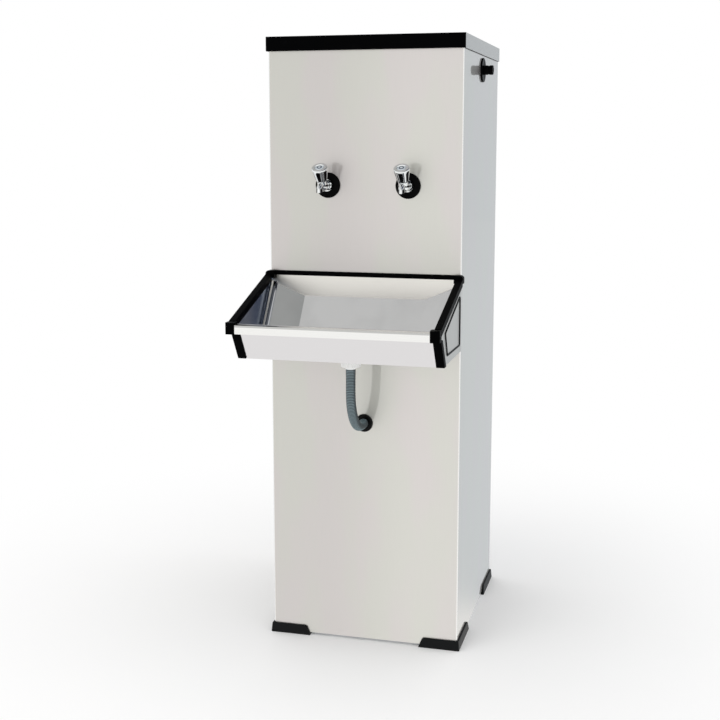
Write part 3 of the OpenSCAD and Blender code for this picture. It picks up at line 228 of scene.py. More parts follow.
def tinted(color, tint):
    """A colour whose red, green and blue are each scaled."""
    return tuple(c * t for c, t in zip(color, tint))


def dress(material, *names):
    """Gives CAD nodes a material in place of the one they were packed with."""
    for name in names:
        slots = NODES[name].data.materials
        slots.clear()
        slots.append(material)


# How edges are rounded: points closer than this are one, faces that turn less are one face, and
# edges that turn more are rounded in so many steps
SAME_POINT = 0.01 * MM
SAME_FACE = math.radians(0.5)
HARD_EDGE = math.radians(40)
EDGE_STEPS = 3


def soften(width, *names):
    """Rounds the hard edges of CAD nodes a little, as moulded and folded edges are."""
    for name in names:
        node = NODES[name]
        weld = node.modifiers.new("weld", "WELD")
        weld.merge_threshold = SAME_POINT
        flat = node.modifiers.new("flat", "DECIMATE")
        flat.decimate_type = "DISSOLVE"
        flat.angle_limit = SAME_FACE
        bevel = node.modifiers.new("edge", "BEVEL")
        bevel.width = width
        bevel.segments = EDGE_STEPS
        bevel.limit_method = "ANGLE"
        bevel.angle_limit = HARD_EDGE
        node.modifiers.new("shade", "WEIGHTED_NORMAL")


class SteelLook(bpy.types.PropertyGroup):
    """Colours and grain of the stainless sheet"""

    panel_color: FloatVectorProperty(
        name="Panel steel", description="Colour of the satin cabinet sheet",
        subtype="COLOR", size=3, min=0, max=1, default=(0.620, 0.608, 0.580))
    basin_color: FloatVectorProperty(
        name="Basin steel", description="Colour of the bright basin sheet",
        subtype="COLOR", size=3, min=0, max=1, default=(0.80, 0.80, 0.795))
    # Painted light: the lip is the basin steel made lighter; the basin's seams take this colour too
    lit_lip_color: FloatVectorProperty(
        name="Lip steel", description="Colour of the basin's polished front",
        subtype="COLOR", size=3, min=0, max=1, default=(0.90, 0.90, 0.892))
    zinc_color: FloatVectorProperty(
        name="Zinc sheet", description="Colour of the zinc-coated rear panel",
        subtype="COLOR", size=3, min=0, max=1, default=(0.58, 0.60, 0.62))
    grain_depth: FloatProperty(
        name="Grain depth", description="Depth of the brushed grain",
        subtype="DISTANCE", unit="LENGTH", min=0, max=0.0002, default=0.00001)


class PlasticLook(bpy.types.PropertyGroup):
    """Colours of the plastic, rubber and painted pieces"""

    trim_color: FloatVectorProperty(
        name="Trim black", description="Colour of the black edging and beads",
        subtype="COLOR", size=3, min=0, max=1, default=(0.0012, 0.0012, 0.0014))
    foot_color: FloatVectorProperty(
        name="Foot black", description="Colour of the corner feet",
        subtype="COLOR", size=3, min=0, max=1, default=(0.004, 0.0045, 0.005))
    gloss_color: FloatVectorProperty(
        name="Gloss black", description="Colour of the tap wall plates and black fittings",
        subtype="COLOR", size=3, min=0, max=1, default=(0.0012, 0.0012, 0.0014))
    white_color: FloatVectorProperty(
        name="White plastic", description="Colour of the drain and tank plastics",
        subtype="COLOR", size=3, min=0, max=1, default=(0.92, 0.92, 0.91))
    hose_color: FloatVectorProperty(
        name="Hose grey", description="Colour of the ribbed drain hose",
        subtype="COLOR", size=3, min=0, max=1, default=(0.115, 0.155, 0.170))


class HoseForm(bpy.types.PropertyGroup):
    """Form of the ribbed drain hose"""

    diameter: FloatProperty(
        name="Diameter", description="Outside diameter over the ribs",
        subtype="DISTANCE", unit="LENGTH", min=0.01, max=0.04, default=0.021)
    bore: FloatProperty(
        name="Bore", description="Inside diameter",
        subtype="DISTANCE", unit="LENGTH", min=0.005, max=0.035, default=0.016)
    rib_depth: FloatProperty(
        name="Rib depth", description="Depth of the grooves between the ribs",
        subtype="DISTANCE", unit="LENGTH", min=0, max=0.002, default=0.0010)
    cuff: FloatProperty(
        name="Cuff", description="Length of the plain ends",
        subtype="DISTANCE", unit="LENGTH", min=0, max=0.06, default=0.014)
    ribs: IntProperty(
        name="Ribs", description="Number of ribs between the cuffs", min=10, max=200, default=64)


class DetailForm(bpy.types.PropertyGroup):
    """Sizes of the small added pieces"""

    bead: FloatProperty(
        name="Bead", description="Diameter of the rubber bead in the groove of a side panel",
        subtype="DISTANCE", unit="LENGTH", min=0.003, max=0.006, default=0.0044)
    seam: FloatProperty(
        name="Seam", description="Height of the folded seams inside the basin",
        subtype="DISTANCE", unit="LENGTH", min=0.001, max=0.005, default=0.0036)
    digit: FloatProperty(
        name="Digit", description="Height of the digits round the thermostat dial",
        subtype="DISTANCE", unit="LENGTH", min=0.003, max=0.009, default=0.0065)
    digits: IntProperty(
        name="Settings", description="Number of settings on the thermostat dial",
        min=2, max=9, default=7)


class StudioLook(bpy.types.PropertyGroup):
    """Light of the studio"""

    fill: FloatProperty(
        name="Fill", description="Brightness of the light from all sides",
        min=0, max=2, default=0.94)
    key: FloatProperty(
        name="Key", description="Power of the large soft lamp",
        subtype="POWER", unit="POWER", min=0, max=500, default=22)
    rim: FloatProperty(
        name="Rim", description="Power of the lamp on the right",
        subtype="POWER", unit="POWER", min=0, max=500, default=8)


# The photograph's camera, fitted to the cabinet's corners
CAMERA_PLACE = (0.6581, -2.7509, 1.1304)
CAMERA_PITCH = math.radians(8.73)
CAMERA_YAW = math.radians(14.86)
CAMERA_LENS, CAMERA_SENSOR = 60.0, 36.0
CAMERA_SHIFT = -0.05


def add_camera():
    data = bpy.data.cameras.new("camera")
    data.lens = CAMERA_LENS
    data.sensor_width = CAMERA_SENSOR
    data.shift_y = CAMERA_SHIFT
    camera = bpy.data.objects.new("camera", data)
    camera.location = CAMERA_PLACE
    camera.rotation_euler = (math.pi / 2 - CAMERA_PITCH, 0, CAMERA_YAW)
    bpy.context.collection.objects.link(camera)
    bpy.context.scene.camera = camera


# The two soft lamps: where they stand, where they aim, their width and height, and their colour
KEY_LAMP = ((-1.6, -2.6, 3.0), (0, -0.2, 0.7), (2.2, 2.2), (1.0, 0.985, 0.96))
RIM_LAMP = ((2.8, 0.4, 2.0), (0, 0, 0.8), (1.2, 2.2), (0.94, 0.97, 1.0))


def add_lamp(name, power, place, aim, size, color):
    data = bpy.data.lights.new(name, "AREA")
    data.shape = "RECTANGLE"
    data.size, data.size_y = size
    data.energy = power
    data.color = color
    lamp = bpy.data.objects.new(name, data)
    lamp.location = place
    lamp.rotation_euler = (Vector(aim) - Vector(place)).to_track_quat("-Z", "Y").to_euler()
    lamp.visible_glossy = False
    bpy.context.collection.objects.link(lamp)


# What metal sees: warm white in front of the part, cooler behind it, and a ceiling that darkens to
# the right; each pair says where along a unit direction one passes into the next
AIR_FRONT = (1.0, 0.995, 0.975)
AIR_BEHIND = (0.69, 0.725, 0.75)
AIR_TURN = (-0.5, 0.8)
CEILING_LEFT = (0.62, 0.62, 0.62)
CEILING_MIDDLE = (0.30, 0.31, 0.305)
CEILING_RIGHT = (0.045, 0.055, 0.095)
CEILING_TURNS = ((-0.15, 0.22), (0.22, 0.42))
CEILING_RISE = (0.25, 0.75)


def add_world(fill):
    """A white studio: metal sees it warm in front, cool behind and grey overhead."""
    paint = Paint(bpy.data.worlds.new("studio_air"))
    x, y, z = paint.parts(paint.node("ShaderNodeTexCoord", None, None, "Generated"))
    walls = paint.mixed(y.between(*AIR_TURN), AIR_FRONT, AIR_BEHIND)
    ceiling = paint.mixed(x.between(*CEILING_TURNS[0]), CEILING_LEFT, CEILING_MIDDLE)
    ceiling = paint.mixed(x.between(*CEILING_TURNS[1]), ceiling, CEILING_RIGHT)
    room = paint.mixed(z.between(*CEILING_RISE), walls, ceiling)
    camera, glossy, through = paint.rays("Camera", "Glossy", "Transmission")
    lit = paint.mixed(glossy + through, (fill, fill, fill), room)
    color = paint.mixed(camera, lit, AIR_WHITE)
    back = paint.node("ShaderNodeBackground", None, {"Color": color, "Strength": 1.0})
    paint.node("ShaderNodeOutputWorld", None, {"Surface": back})
    bpy.context.scene.world = paint.owner


# The floor: half its width, its colour, how far from the part it fades to white, and how much air
# metal sees in it
FLOOR_HALF = 14.0
FLOOR_COLOR = (0.96, 0.96, 0.96)
FLOOR_FADE = (0.45, 1.5)
FLOOR_AIR = 0.9


def floor_material():
    """Pale floor that keeps the shadow near the part and fades to white away from it."""
    paint = new_paint("pale_floor")
    x, y = paint.parts(paint.place())[:2]
    away = (x * x + y * y) ** 0.5
    camera, glossy = paint.rays("Camera", "Glossy")
    white = away.between(*FLOOR_FADE) * camera + FLOOR_AIR * glossy
    air = paint.mixed((y / away).between(*AIR_TURN), AIR_FRONT, AIR_BEHIND)
    color = paint.mixed(camera, air, AIR_WHITE)
    matt = paint.node("ShaderNodeBsdfDiffuse", None, {"Color": FLOOR_COLOR})
    glow = paint.node("ShaderNodeEmission", None, {"Color": color, "Strength": 1.0})
    both = paint.node("ShaderNodeMixShader", None, {0: white, 1: matt, 2: glow})
    paint.node("ShaderNodeOutputMaterial", None, {"Surface": both})
    return paint.owner


def add_floor():
    around = ((-1, -1), (1, -1), (1, 1), (-1, 1))
    corners = [(x * FLOOR_HALF, y * FLOOR_HALF, 0) for x, y in around]
    mesh = bpy.data.meshes.new("floor")
    mesh.from_pydata(corners, [], [range(len(corners))])
    mesh.materials.append(floor_material())
    floor = bpy.data.objects.new("floor", mesh)
    bpy.context.collection.objects.link(floor)


class COOLER_OT_stage(bpy.types.Operator):
    """Make the camera, the air, the lamps and the floor"""

    bl_idname = "cooler.stage"
    bl_label = "Studio"

    def execute(self, context):
        look = context.scene.cooler_studio
        add_camera()
        add_world(look.fill)
        add_lamp("key_lamp", look.key, *KEY_LAMP)
        add_lamp("rim_lamp", look.rim, *RIM_LAMP)
        add_floor()
        return {"FINISHED"}


# The hose's route in the plane x = 0, as Y and Z in metres: straight down from the drain,
# round a wide bend and level into the panel
HOSE_ROUTE = [
    (-0.347, 0.652), (-0.347, 0.640), (-0.347, 0.628), (-0.347, 0.614), (-0.347, 0.600),
    (-0.344, 0.577), (-0.335, 0.555), (-0.321, 0.536), (-0.302, 0.521), (-0.280, 0.512),
    (-0.257, 0.509), (-0.246, 0.509), (-0.235, 0.509), (-0.224, 0.509), (-0.210, 0.509),
]
ROUTE_STEPS = 24
# How finely the hose is cut: round it, along each rib, and how many outer rings go to one of the
# bore; then how narrow the grooves between the ribs are, and the depth of the grain
HOSE_SIDES = 40
RINGS_PER_RIB = 8
RINGS_PER_BORE = 4
GROOVE_POWER = 1.6
HOSE_GRAIN = 0.04 * MM


def route_points():
    """Points along the smooth curve through the hose's route."""
    ends = [HOSE_ROUTE[0], *HOSE_ROUTE, HOSE_ROUTE[-1]]
    points = []
    for p0, p1, p2, p3 in zip(ends, ends[1:], ends[2:], ends[3:]):
        p0, p1, p2, p3 = (Vector((0, *p)) for p in (p0, p1, p2, p3))
        for step in range(ROUTE_STEPS):
            s = step / ROUTE_STEPS
            bend = (2 * p0 - 5 * p1 + 4 * p2 - p3) * s * s
            twist = (3 * p1 - p0 - 3 * p2 + p3) * s * s * s
            points.append((2 * p1 + (p2 - p0) * s + bend + twist) / 2)
    return points + [Vector((0, *HOSE_ROUTE[-1]))]


def lengths_along(points):
    total = [0.0]
    for a, b in zip(points, points[1:]):
        total.append(total[-1] + (b - a).length)
    return total


def point_at(points, total, distance):
    """The point at a distance along a line, and the direction there."""
    i = max(k for k in range(len(points) - 1) if total[k] <= distance or k == 0)
    share = (distance - total[i]) / (total[i + 1] - total[i])
    before, after = points[max(i - 2, 0)], points[min(i + 3, len(points) - 1)]
    return points[i].lerp(points[i + 1], share), (after - before).normalized()


def hose_mesh(form, points):
    """A ribbed tube with its bore, closed at both cut ends."""
    total = lengths_along(points)
    length = total[-1]
    pitch = (length - 2 * form.cuff) / form.ribs
    step = pitch / RINGS_PER_RIB
    rings = round(length / step)
    verts, faces = [], []
    across = Vector((1, 0, 0))

    def add_ring(distance, radius):
        centre, ahead = point_at(points, total, distance)
        up = ahead.cross(across)
        for k in range(HOSE_SIDES):
            a = 2 * math.pi * k / HOSE_SIDES
            verts.append(centre + radius * (math.cos(a) * across + math.sin(a) * up))

    for i in range(rings + 1):
        distance = length * i / rings
        along = distance - form.cuff
        ribbed = 0 < along < form.ribs * pitch
        wave = 0.5 - 0.5 * math.cos(2 * math.pi * along / pitch)
        dip = wave ** GROOVE_POWER if ribbed else 0
        add_ring(distance, form.diameter / 2 - form.rib_depth * dip)
    inner = rings // RINGS_PER_BORE
    for i in range(inner + 1):
        add_ring(length * (1 - i / inner), form.bore / 2)
    count = rings + inner + 2
    for i in range(count):
        for k in range(HOSE_SIDES):
            j = (k + 1) % HOSE_SIDES
            a, b = i * HOSE_SIDES, (i + 1) % count * HOSE_SIDES
            faces.append((a + k, a + j, b + j, b + k))
    mesh = bpy.data.meshes.new("ribbed_drain_hose")
    mesh.from_pydata(verts, [], faces)
    mesh.polygons.foreach_set("use_smooth", [True] * len(faces))
    layer = mesh.uv_layers.new(name="ribs")
    for loop in mesh.loops:
        ring, side = divmod(loop.vertex_index, HOSE_SIDES)
        along = (length * min(ring, rings) / rings - form.cuff) / pitch
        layer.uv[loop.index].vector = (side / HOSE_SIDES, along)
    return mesh


def hose_material(color, radius):
    """Grey-blue flexible plastic: painted shade in the grooves and along its flanks, a patchy painted highlight on
    the rib crests.
    """
    paint = new_paint("hose_plastic")
    place = paint.place()
    cloud = paint.noise(place, 60.0)
    grain = paint.noise(place, 1800.0, 2.0)
    along = paint.parts(paint.node("ShaderNodeUVMap", {"uv_map": "ribs"}))[1]
    wave = 0.5 + 0.5 * (along * (2 * math.pi)).math("COSINE")
    # Painted shade in the grooves, painted light on the ribs and a painted highlight on their crests
    groove, rib, crest_highlight, side = (toned(color, tone) for tone in (0.30, 1.15, 2.3, 0.16))
    shade = paint.mixed(wave.between(0.08, 0.55), groove, rib)
    shade = paint.mixed(wave.between(0.80, 1.0) * (0.45 + 0.55 * cloud), shade, crest_highlight)
    # Painted shade along the hose's flanks
    flank_shade = abs(paint.parts(place)[0]).between(0.62 * radius, 0.98 * radius)
    shade = paint.mixed(flank_shade * 0.8, shade, side)
    rough = 0.34 + 0.16 * cloud
    normal = paint.bumped(grain, HOSE_GRAIN)
    return paint.finish(base_color=shade, roughness=rough, normal=normal, specular=0.4)


class COOLER_OT_hose(bpy.types.Operator):
    """Make the ribbed drain hose from the basin to the panel"""

    bl_idname = "cooler.hose"
    bl_label = "Drain hose"

    def execute(self, context):
        form = context.scene.cooler_hose
        points = route_points()
        hose = bpy.data.objects.new("ribbed_drain_hose", hose_mesh(form, points))
        color = context.scene.cooler_plastic.hose_color
        hose.data.materials.append(hose_material(color, form.diameter / 2))
        context.collection.objects.link(hose)
        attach(hose, "cabinet")
        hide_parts("drain_hose")
        lengths_along(points)[-1]
        return {"FINISHED"}


# The cabinet sheet: how often its grain and mill bands repeat in a metre, the two tints of the bands,
# where painted light makes its front paler towards the right, and the painted highlight along its front folds
BRUSHED = (2600.0, 2600.0, 14.0)
MILL_BANDS = (9.0, 9.0, 2.6)
ROSY, GREENISH = (1.018, 0.980, 1.012), (0.995, 1.010, 0.985)
PAINTED_LIGHT_SPAN = (-100 * MM, 140 * MM)
FOLD_NEAR, FOLD_FAR = 1.6 * MM, 3.4 * MM
FOLD_HIGHLIGHT_COLOR = (0.93, 0.93, 0.92)


def satin_steel(look):
    """Cabinet sheet: upright satin grain under a thin bright skin, with faint mill bands, painted light on its
    front, painted highlights on its folds and painted shade on the lid's sides.
    """
    paint = new_paint("satin_stainless")
    place = paint.place()
    x, y, z = paint.parts(place)
    grain = paint.noise(paint.stretched(place, BRUSHED), 1.0, 4.0, 0.6)
    band = paint.noise(paint.stretched(place, MILL_BANDS), 1.0, 2.0)
    smear = paint.noise(place, 6.0, 4.0)
    base = look.panel_color
    shade = paint.mixed(band.between(0.40, 0.60), tinted(base, ROSY), tinted(base, GREENISH))
    shade = paint.mixed(grain.between(0.35, 0.75) * 0.35, shade, toned(base, 0.93))
    # Painted light: the front grows paler towards the right
    pale = x.between(*PAINTED_LIGHT_SPAN) * (y < FRONT_Y + 1 * MM)
    shade = paint.scaled(shade, 0.99 + 0.13 * pale)
    # Painted highlight: a bright, smoother line along the front folds
    fold_highlight = abs(x).between(SHELL_HIGH.x - FOLD_FAR, SHELL_HIGH.x - FOLD_NEAR)
    fold_highlight = fold_highlight * (1 - y.between(FRONT_Y + FOLD_NEAR, FRONT_Y + FOLD_FAR))
    shade = paint.mixed(fold_highlight, shade, FOLD_HIGHLIGHT_COLOR)
    # Painted shade: the lid's side skirt is darkened to half the sheet's colour
    skirt_shade = (z > LID_LOW) * (abs(x) > SHELL_HIGH.x + 0.2 * MM)
    shade = paint.mixed(skirt_shade, shade, toned(base, 0.50))
    rough = 0.38 + 0.07 * grain + 0.05 * smear - 0.20 * fold_highlight
    normal = paint.bumped(grain, look.grain_depth)
    return paint.finish(
        base_color=shade, metallic=1.0, roughness=rough, normal=normal,
        coat_weight=1.0, coat_roughness=0.03, coat_ior=2.1)


# Parts of the basin's sheet that look different: the lip folded at its front, lighter with painted
# light and with a painted dark reflection along its rolled top, the apron under it in painted shade,
# the sheet that lies on the panel, the groove pressed round each cheek, painted dark as shade, and
# the cheek's inner face, with a painted dark reflection that deepens towards the back
LIP_BACK = BOWL_FRONT + 10 * MM
LIP_TOP = 760 * MM
LIP_ROLL = 4 * MM
APRON_FOOT = FRONT_Y - 198 * MM
APRON_SIDE = SHELL_HIGH.x - 3 * MM
APRON_SHADE = (0.94, 0.925, 0.95)
BACK_SHEET = FRONT_Y - 2.2 * MM
CHEEK_FACE = SHELL_HIGH.x - 0.8 * MM
CHEEK_GROOVE = 1.2 * MM
GROOVE_SHADE_COLOR = (0.05, 0.055, 0.06)
CHEEK_INSIDE = SHELL_HIGH.x - 3 * MM
CHEEK_FADE = (FRONT_Y - 175 * MM, FRONT_Y - 95 * MM)
CHEEK_REFLECTION = (0.45, 0.53, 0.69)


def bright_steel(look):
    """Basin sheet: bright inside, painted lighter at the front, satin where it meets the panel; painted shade and
    reflections mark its apron, lip, grooves and cheeks.
    """
    paint = new_paint("bright_stainless")
    place = paint.place()
    x, y, z = paint.parts(place)
    swirl = paint.noise(paint.stretched(place, (60.0, 900.0, 900.0)), 1.0, 4.0, 0.6)
    stain = paint.noise(place, 14.0, 4.0)
    at_lip = y < LIP_BACK
    at_back = y > BACK_SHEET
    at_apron = (y < APRON_FOOT) * (abs(x) < APRON_SIDE)
    outside = abs(x) > CHEEK_FACE
    basin, lip, panel = look.basin_color, look.lit_lip_color, look.panel_color
    shade = paint.mixed(stain.between(0.35, 0.8), basin, toned(basin, 0.92))
    # Painted shade: the apron under the lip is darker
    shade = paint.mixed(at_apron, shade, tinted(basin, APRON_SHADE))
    # Painted light on the lip, with a painted dark reflection along its rolled top
    roll_shade = z.between(LIP_TOP - 1.2 * LIP_ROLL, LIP_TOP - 0.8 * LIP_ROLL)
    shade = paint.mixed(at_lip, shade, paint.mixed(roll_shade, lip, toned(lip, 0.62)))
    shade = paint.mixed(at_back, shade, toned(panel, 1.42))
    shade = paint.mixed(outside, shade, toned(panel, 0.89))
    # Painted reflection: a dark bluish reflection on the cheek's inner face that deepens towards the back
    inside = (abs(abs(x) - CHEEK_INSIDE) < 0.1 * MM) * y.between(*CHEEK_FADE)
    shade = paint.mixed(inside, shade, tinted(basin, CHEEK_REFLECTION))
    # Painted shade: the groove pressed round each cheek is painted dark
    depth = SHELL_HIGH.x - abs(x)
    groove_shade = depth.between(0.25 * MM, 0.6 * MM) * (depth < CHEEK_GROOVE + 0.3 * MM)
    shade = paint.mixed(groove_shade, shade, GROOVE_SHADE_COLOR)
    satin = at_back.math("MAXIMUM", outside)
    rough = 0.13 + 0.06 * swirl + 0.03 * stain + 0.12 * satin
    normal = paint.bumped(swirl, look.grain_depth * 0.2)
    return paint.finish(base_color=shade, metallic=1.0, roughness=rough, normal=normal)


# Zinc crystals: how many there are to a metre, how ragged their edges are, and the size, the three
# directions and the depth of the feathers inside them
CRYSTALS = 62.0
CRYSTAL_EDGE = 7 * MM
FEATHER_SIZE = (1.6 * MM, 1.6 * MM, 16 * MM)
FEATHER_TURNS = (0.35, 1.40, 2.45)
FEATHER_DEPTH = 0.012 * MM


def feathers(paint, turn):
    """Fine streaks in one direction of the panel's plane, as a wire from 0 to 1."""
    inputs = {"Vector": paint.place(), "Rotation": (0, turn, 0), "Scale": FEATHER_SIZE}
    turned = paint.node("ShaderNodeMapping", {"vector_type": "TEXTURE"}, inputs)
    return paint.noise(turned, 1.0, 3.0, 0.6).between(0.3, 0.7)


def zinc_sheet(look):
    """Zinc-coated sheet: broad feathery crystals, dulled here and there."""
    paint = new_paint("zinc_spangle")
    place = paint.place()
    ragged = paint.node("ShaderNodeTexNoise", None, {"Vector": place, "Scale": 90.0}, "Color")
    edge = {0: ragged, 1: (CRYSTAL_EDGE, CRYSTAL_EDGE, CRYSTAL_EDGE), 2: place}
    moved = paint.node("ShaderNodeVectorMath", {"operation": "MULTIPLY_ADD"}, edge)
    tone, pick = paint.parts(paint.cells(moved, CRYSTALS, output="Color"))[:2]
    first, second, third = (feathers(paint, turn) for turn in FEATHER_TURNS)
    feather = first + (second - first) * (pick > 0.33) + (third - second) * (pick > 0.67)
    haze = paint.noise(place, 9.0, 3.0)
    dark, light = toned(look.zinc_color, 0.86), toned(look.zinc_color, 1.14)
    shade = paint.mixed(0.55 * tone + 0.45 * feather, dark, light)
    rough = 0.26 + 0.16 * tone + 0.06 * feather + 0.08 * haze
    normal = paint.bumped(feather, FEATHER_DEPTH)
    return paint.finish(base_color=shade, metallic=0.85, roughness=rough, normal=normal)


# Mouldings: roughness, size and depth of the die grain in millimetres, and strength of the gloss
MOULDINGS = {
    "trim_plastic": (0.34, 0.7, 0.020, 0.009),
    "foot_plastic": (0.42, 0.9, 0.050, 0.12),
    "plate_gloss": (0.10, 2.0, 0.004, 0.035),
    "seal_rubber": (0.62, 0.5, 0.030, 0.35),
    "white_moulding": (0.30, 1.2, 0.010, 0.40),
    "grommet_rubber": (0.28, 0.6, 0.010, 0.12),
    "fitting_plastic": (0.28, 0.6, 0.010, 0.03),
    "bead_rubber": (0.40, 0.6, 0.020, 0.08),
    "scale_ink": (0.50, 0.8, 0.002, 0.35),
    "mark_white": (0.40, 0.8, 0.002, 0.35),
    "dark_moulding": (0.38, 0.8, 0.020, 0.35),
}


def moulded(name, color):
    """Moulded plastic or rubber: fine die grain, scuffs that turn it paler and duller."""
    rough, size, depth, gloss = MOULDINGS[name]
    paint = new_paint(name)
    place = paint.place()
    grain = paint.noise(place, 1 / (size * MM), 3.0)
    scuff = paint.noise(place, 35.0, 5.0, 0.7).between(0.56, 0.78)
    pale = tuple(min(1, c * 1.3 + 0.002) for c in color)
    shade = paint.mixed(scuff * 0.5, color, pale)
    rough = rough + 0.08 * grain + 0.08 * scuff
    normal = paint.bumped(grain, depth * MM)
    return paint.finish(base_color=shade, roughness=rough, normal=normal, specular=gloss)


# Plain metals: how often the tool grain repeats in a metre, its depth, and how far they tarnish
TOOL_GRAIN = 900.0
TOOL_DEPTH = 0.006 * MM
TARNISH = 0.2


def metal(name, color, rough):
    """Plain metal with a fine tool grain and cloudy tarnish."""
    paint = new_paint(name)
    place = paint.place()
    grain = paint.noise(place, TOOL_GRAIN, 3.0)
    cloud = paint.noise(place, 45.0, 4.0)
    shade = paint.mixed(cloud.between(0.4, 0.8) * TARNISH, color, toned(color, 0.72))
    rough = rough + 0.06 * cloud
    normal = paint.bumped(grain, TOOL_DEPTH)
    return paint.finish(base_color=shade, metallic=1.0, roughness=rough, normal=normal)


# Black edging of the lid and basin, and how far edges are rounded
EDGE_TRIM = ("lid_front_trim", "basin_trim_left", "basin_trim_right", "basin_trim_back")
SHEET_EDGE = 0.6 * MM
STRIP_EDGE = 1.4 * MM
CAP_EDGE = 2.6 * MM


class COOLER_OT_cabinet(bpy.types.Operator):
    """Finish the cabinet, lid, feet and rear panel"""

    bl_idname = "cooler.cabinet"
    bl_label = "Cabinet"

    def execute(self, context):
        steel, plastic = context.scene.cooler_steel, context.scene.cooler_plastic
        dress(satin_steel(steel), "cabinet_shell", "top_lid")
        dress(zinc_sheet(steel), "rear_panel", "base_tray", "tank_shelf")
        dress(metal("screw_steel", SCREW_STEEL, rough=0.22), "panel_screws", "basin_nuts")
        trim = moulded("trim_plastic", plastic.trim_color)
        dress(trim, *EDGE_TRIM, "basin_corner_caps", "basin_edge_strips")
        dress(moulded("foot_plastic", plastic.foot_color), "corner_feet")
        soften(SHEET_EDGE, "top_lid", *EDGE_TRIM)
        soften(CAP_EDGE, "basin_corner_caps")
        soften(STRIP_EDGE, "basin_edge_strips", "corner_feet")
        return {"FINISHED"}


def along_head(paint, side):
    """Distance along a tap's head axis and away from it, for a point on the piece."""
    turn = JOINTS[f"tap_{side}_turn"]
    foot, lean = turn["pos_m"], turn["axis"]
    x, y, z = paint.parts(paint.place())
    x, y, z = x - foot[0], y - foot[1], z - foot[2]
    up = y * lean[1] + z * lean[2]
    over = y * lean[2] - z * lean[1]
    return up, (x * x + over * over) ** 0.5


# Knob outline along its axis: where it starts and ends, its radii there, its rounded top edge, and
# the depths at which the painted dark reflection in a flute starts and is full
KNOB_START, KNOB_END = 16.4 * MM, 47.4 * MM
KNOB_LOW_R, KNOB_TOP_R = 12.75 * MM, 17.5 * MM
KNOB_ROUND = 3 * MM
FLUTE_DARK = (0.15 * MM, 0.6 * MM)
FLUTE_REFLECTION_COLOR = (0.006, 0.006, 0.007)
# The knob's button: its colour, its printed ring and where the ring begins and ends
BUTTON_COLOR, RING_COLOR = (0.66, 0.72, 0.77), (0.10, 0.125, 0.155)
RING_IN, RING_OUT = (2.6 * MM, 3.2 * MM), (5.6 * MM, 6.4 * MM)
# The painted dark reflection band on a tap's body: where it fades upwards and downwards, and towards the front
BAND_REFLECTION_COLOR = (0.012, 0.012, 0.014)
BAND_TILT = 0.05
BAND_FADE, BAND_FRONT = (0.10, 0.30), (0.80, 0.97)


def tap_chrome():
    """Polished chrome with a painted dark reflection band round the sides of the round casting."""
    paint = new_paint("tap_chrome")
    facing = paint.parts(paint.node("ShaderNodeNewGeometry", None, None, "Normal"))
    band = 1 - abs(facing[2] - BAND_TILT).between(*BAND_FADE)
    band = band * (1 - (0 - facing[1]).between(*BAND_FRONT))
    smear = paint.noise(paint.place(), 220.0, 4.0)
    # Painted reflection: the dark band is set by which way the surface faces
    shade = paint.mixed(band, CHROME, BAND_REFLECTION_COLOR)
    return paint.finish(base_color=shade, metallic=1.0, roughness=0.035 + 0.05 * smear)


def knob_chrome(side):
    """Polished chrome with painted dark reflections in its flutes."""
    paint = new_paint(f"knob_chrome_{side}")
    up, out = along_head(paint, side)
    spread = (KNOB_TOP_R - KNOB_LOW_R) / (KNOB_END - KNOB_ROUND - KNOB_START)
    outline = KNOB_LOW_R + spread * (up - KNOB_START)
    flute_reflection = (outline - out).between(*FLUTE_DARK) * (up < KNOB_END - KNOB_ROUND - 0.5 * MM)
    smear = paint.noise(paint.place(), 220.0, 4.0)
    # Painted reflection: the flutes darkened towards black
    shade = paint.mixed(flute_reflection, CHROME, FLUTE_REFLECTION_COLOR)
    return paint.finish(base_color=shade, metallic=1.0, roughness=0.035 + 0.05 * smear)


def button_finish(side):
    """Pale knob button: a dark printed ring round a bright centre."""
    paint = new_paint(f"knob_button_{side}")
    out = along_head(paint, side)[1]
    ring = out.between(*RING_IN) * (1 - out.between(*RING_OUT))
    fine = paint.noise(paint.place(), 900.0)
    shade = paint.mixed(ring, BUTTON_COLOR, RING_COLOR)
    return paint.finish(
        base_color=shade, roughness=0.16 + 0.08 * fine, metallic=0.35,
        coat_weight=0.4, coat_roughness=0.05)


class COOLER_OT_taps(bpy.types.Operator):
    """Finish the two taps"""

    bl_idname = "cooler.taps"
    bl_label = "Taps"

    def execute(self, context):
        plate = moulded("plate_gloss", context.scene.cooler_plastic.gloss_color)
        chrome = tap_chrome()
        brass = metal("tap_brass", BRASS, rough=0.24)
        rubber = moulded("seal_rubber", RUBBER)
        for side in SIDES:
            dress(plate, f"tap_rosette_{side}")
            dress(chrome, f"tap_body_{side}", f"tap_bonnet_{side}")
            dress(knob_chrome(side), f"tap_knob_{side}")
            dress(button_finish(side), f"tap_cap_{side}")
            dress(brass, f"tap_spindle_{side}", f"tap_jumper_{side}")
            dress(rubber, f"tap_washer_{side}")
        dress(brass, "tap_backnuts", "float_arm")
        dress(rubber, "drain_gasket", "compressor_mounts")
        return {"FINISHED"}


class COOLER_OT_basin(bpy.types.Operator):
    """Finish the drip basin and its drain"""

    bl_idname = "cooler.basin"
    bl_label = "Basin and drain"

    def execute(self, context):
        steel, plastic = context.scene.cooler_steel, context.scene.cooler_plastic
        dress(
            bright_steel(steel), "basin_bowl", "basin_cheek_left", "basin_cheek_right",
            "drain_strainer")
        dress(
            moulded("white_moulding", plastic.white_color), "drain_body", "drain_nut",
            "drain_pipe", "drain_outlet", "tank_cover", "float_ball", "tank")
        dress(moulded("grommet_rubber", plastic.gloss_color), "hose_grommet")
        return {"FINISHED"}


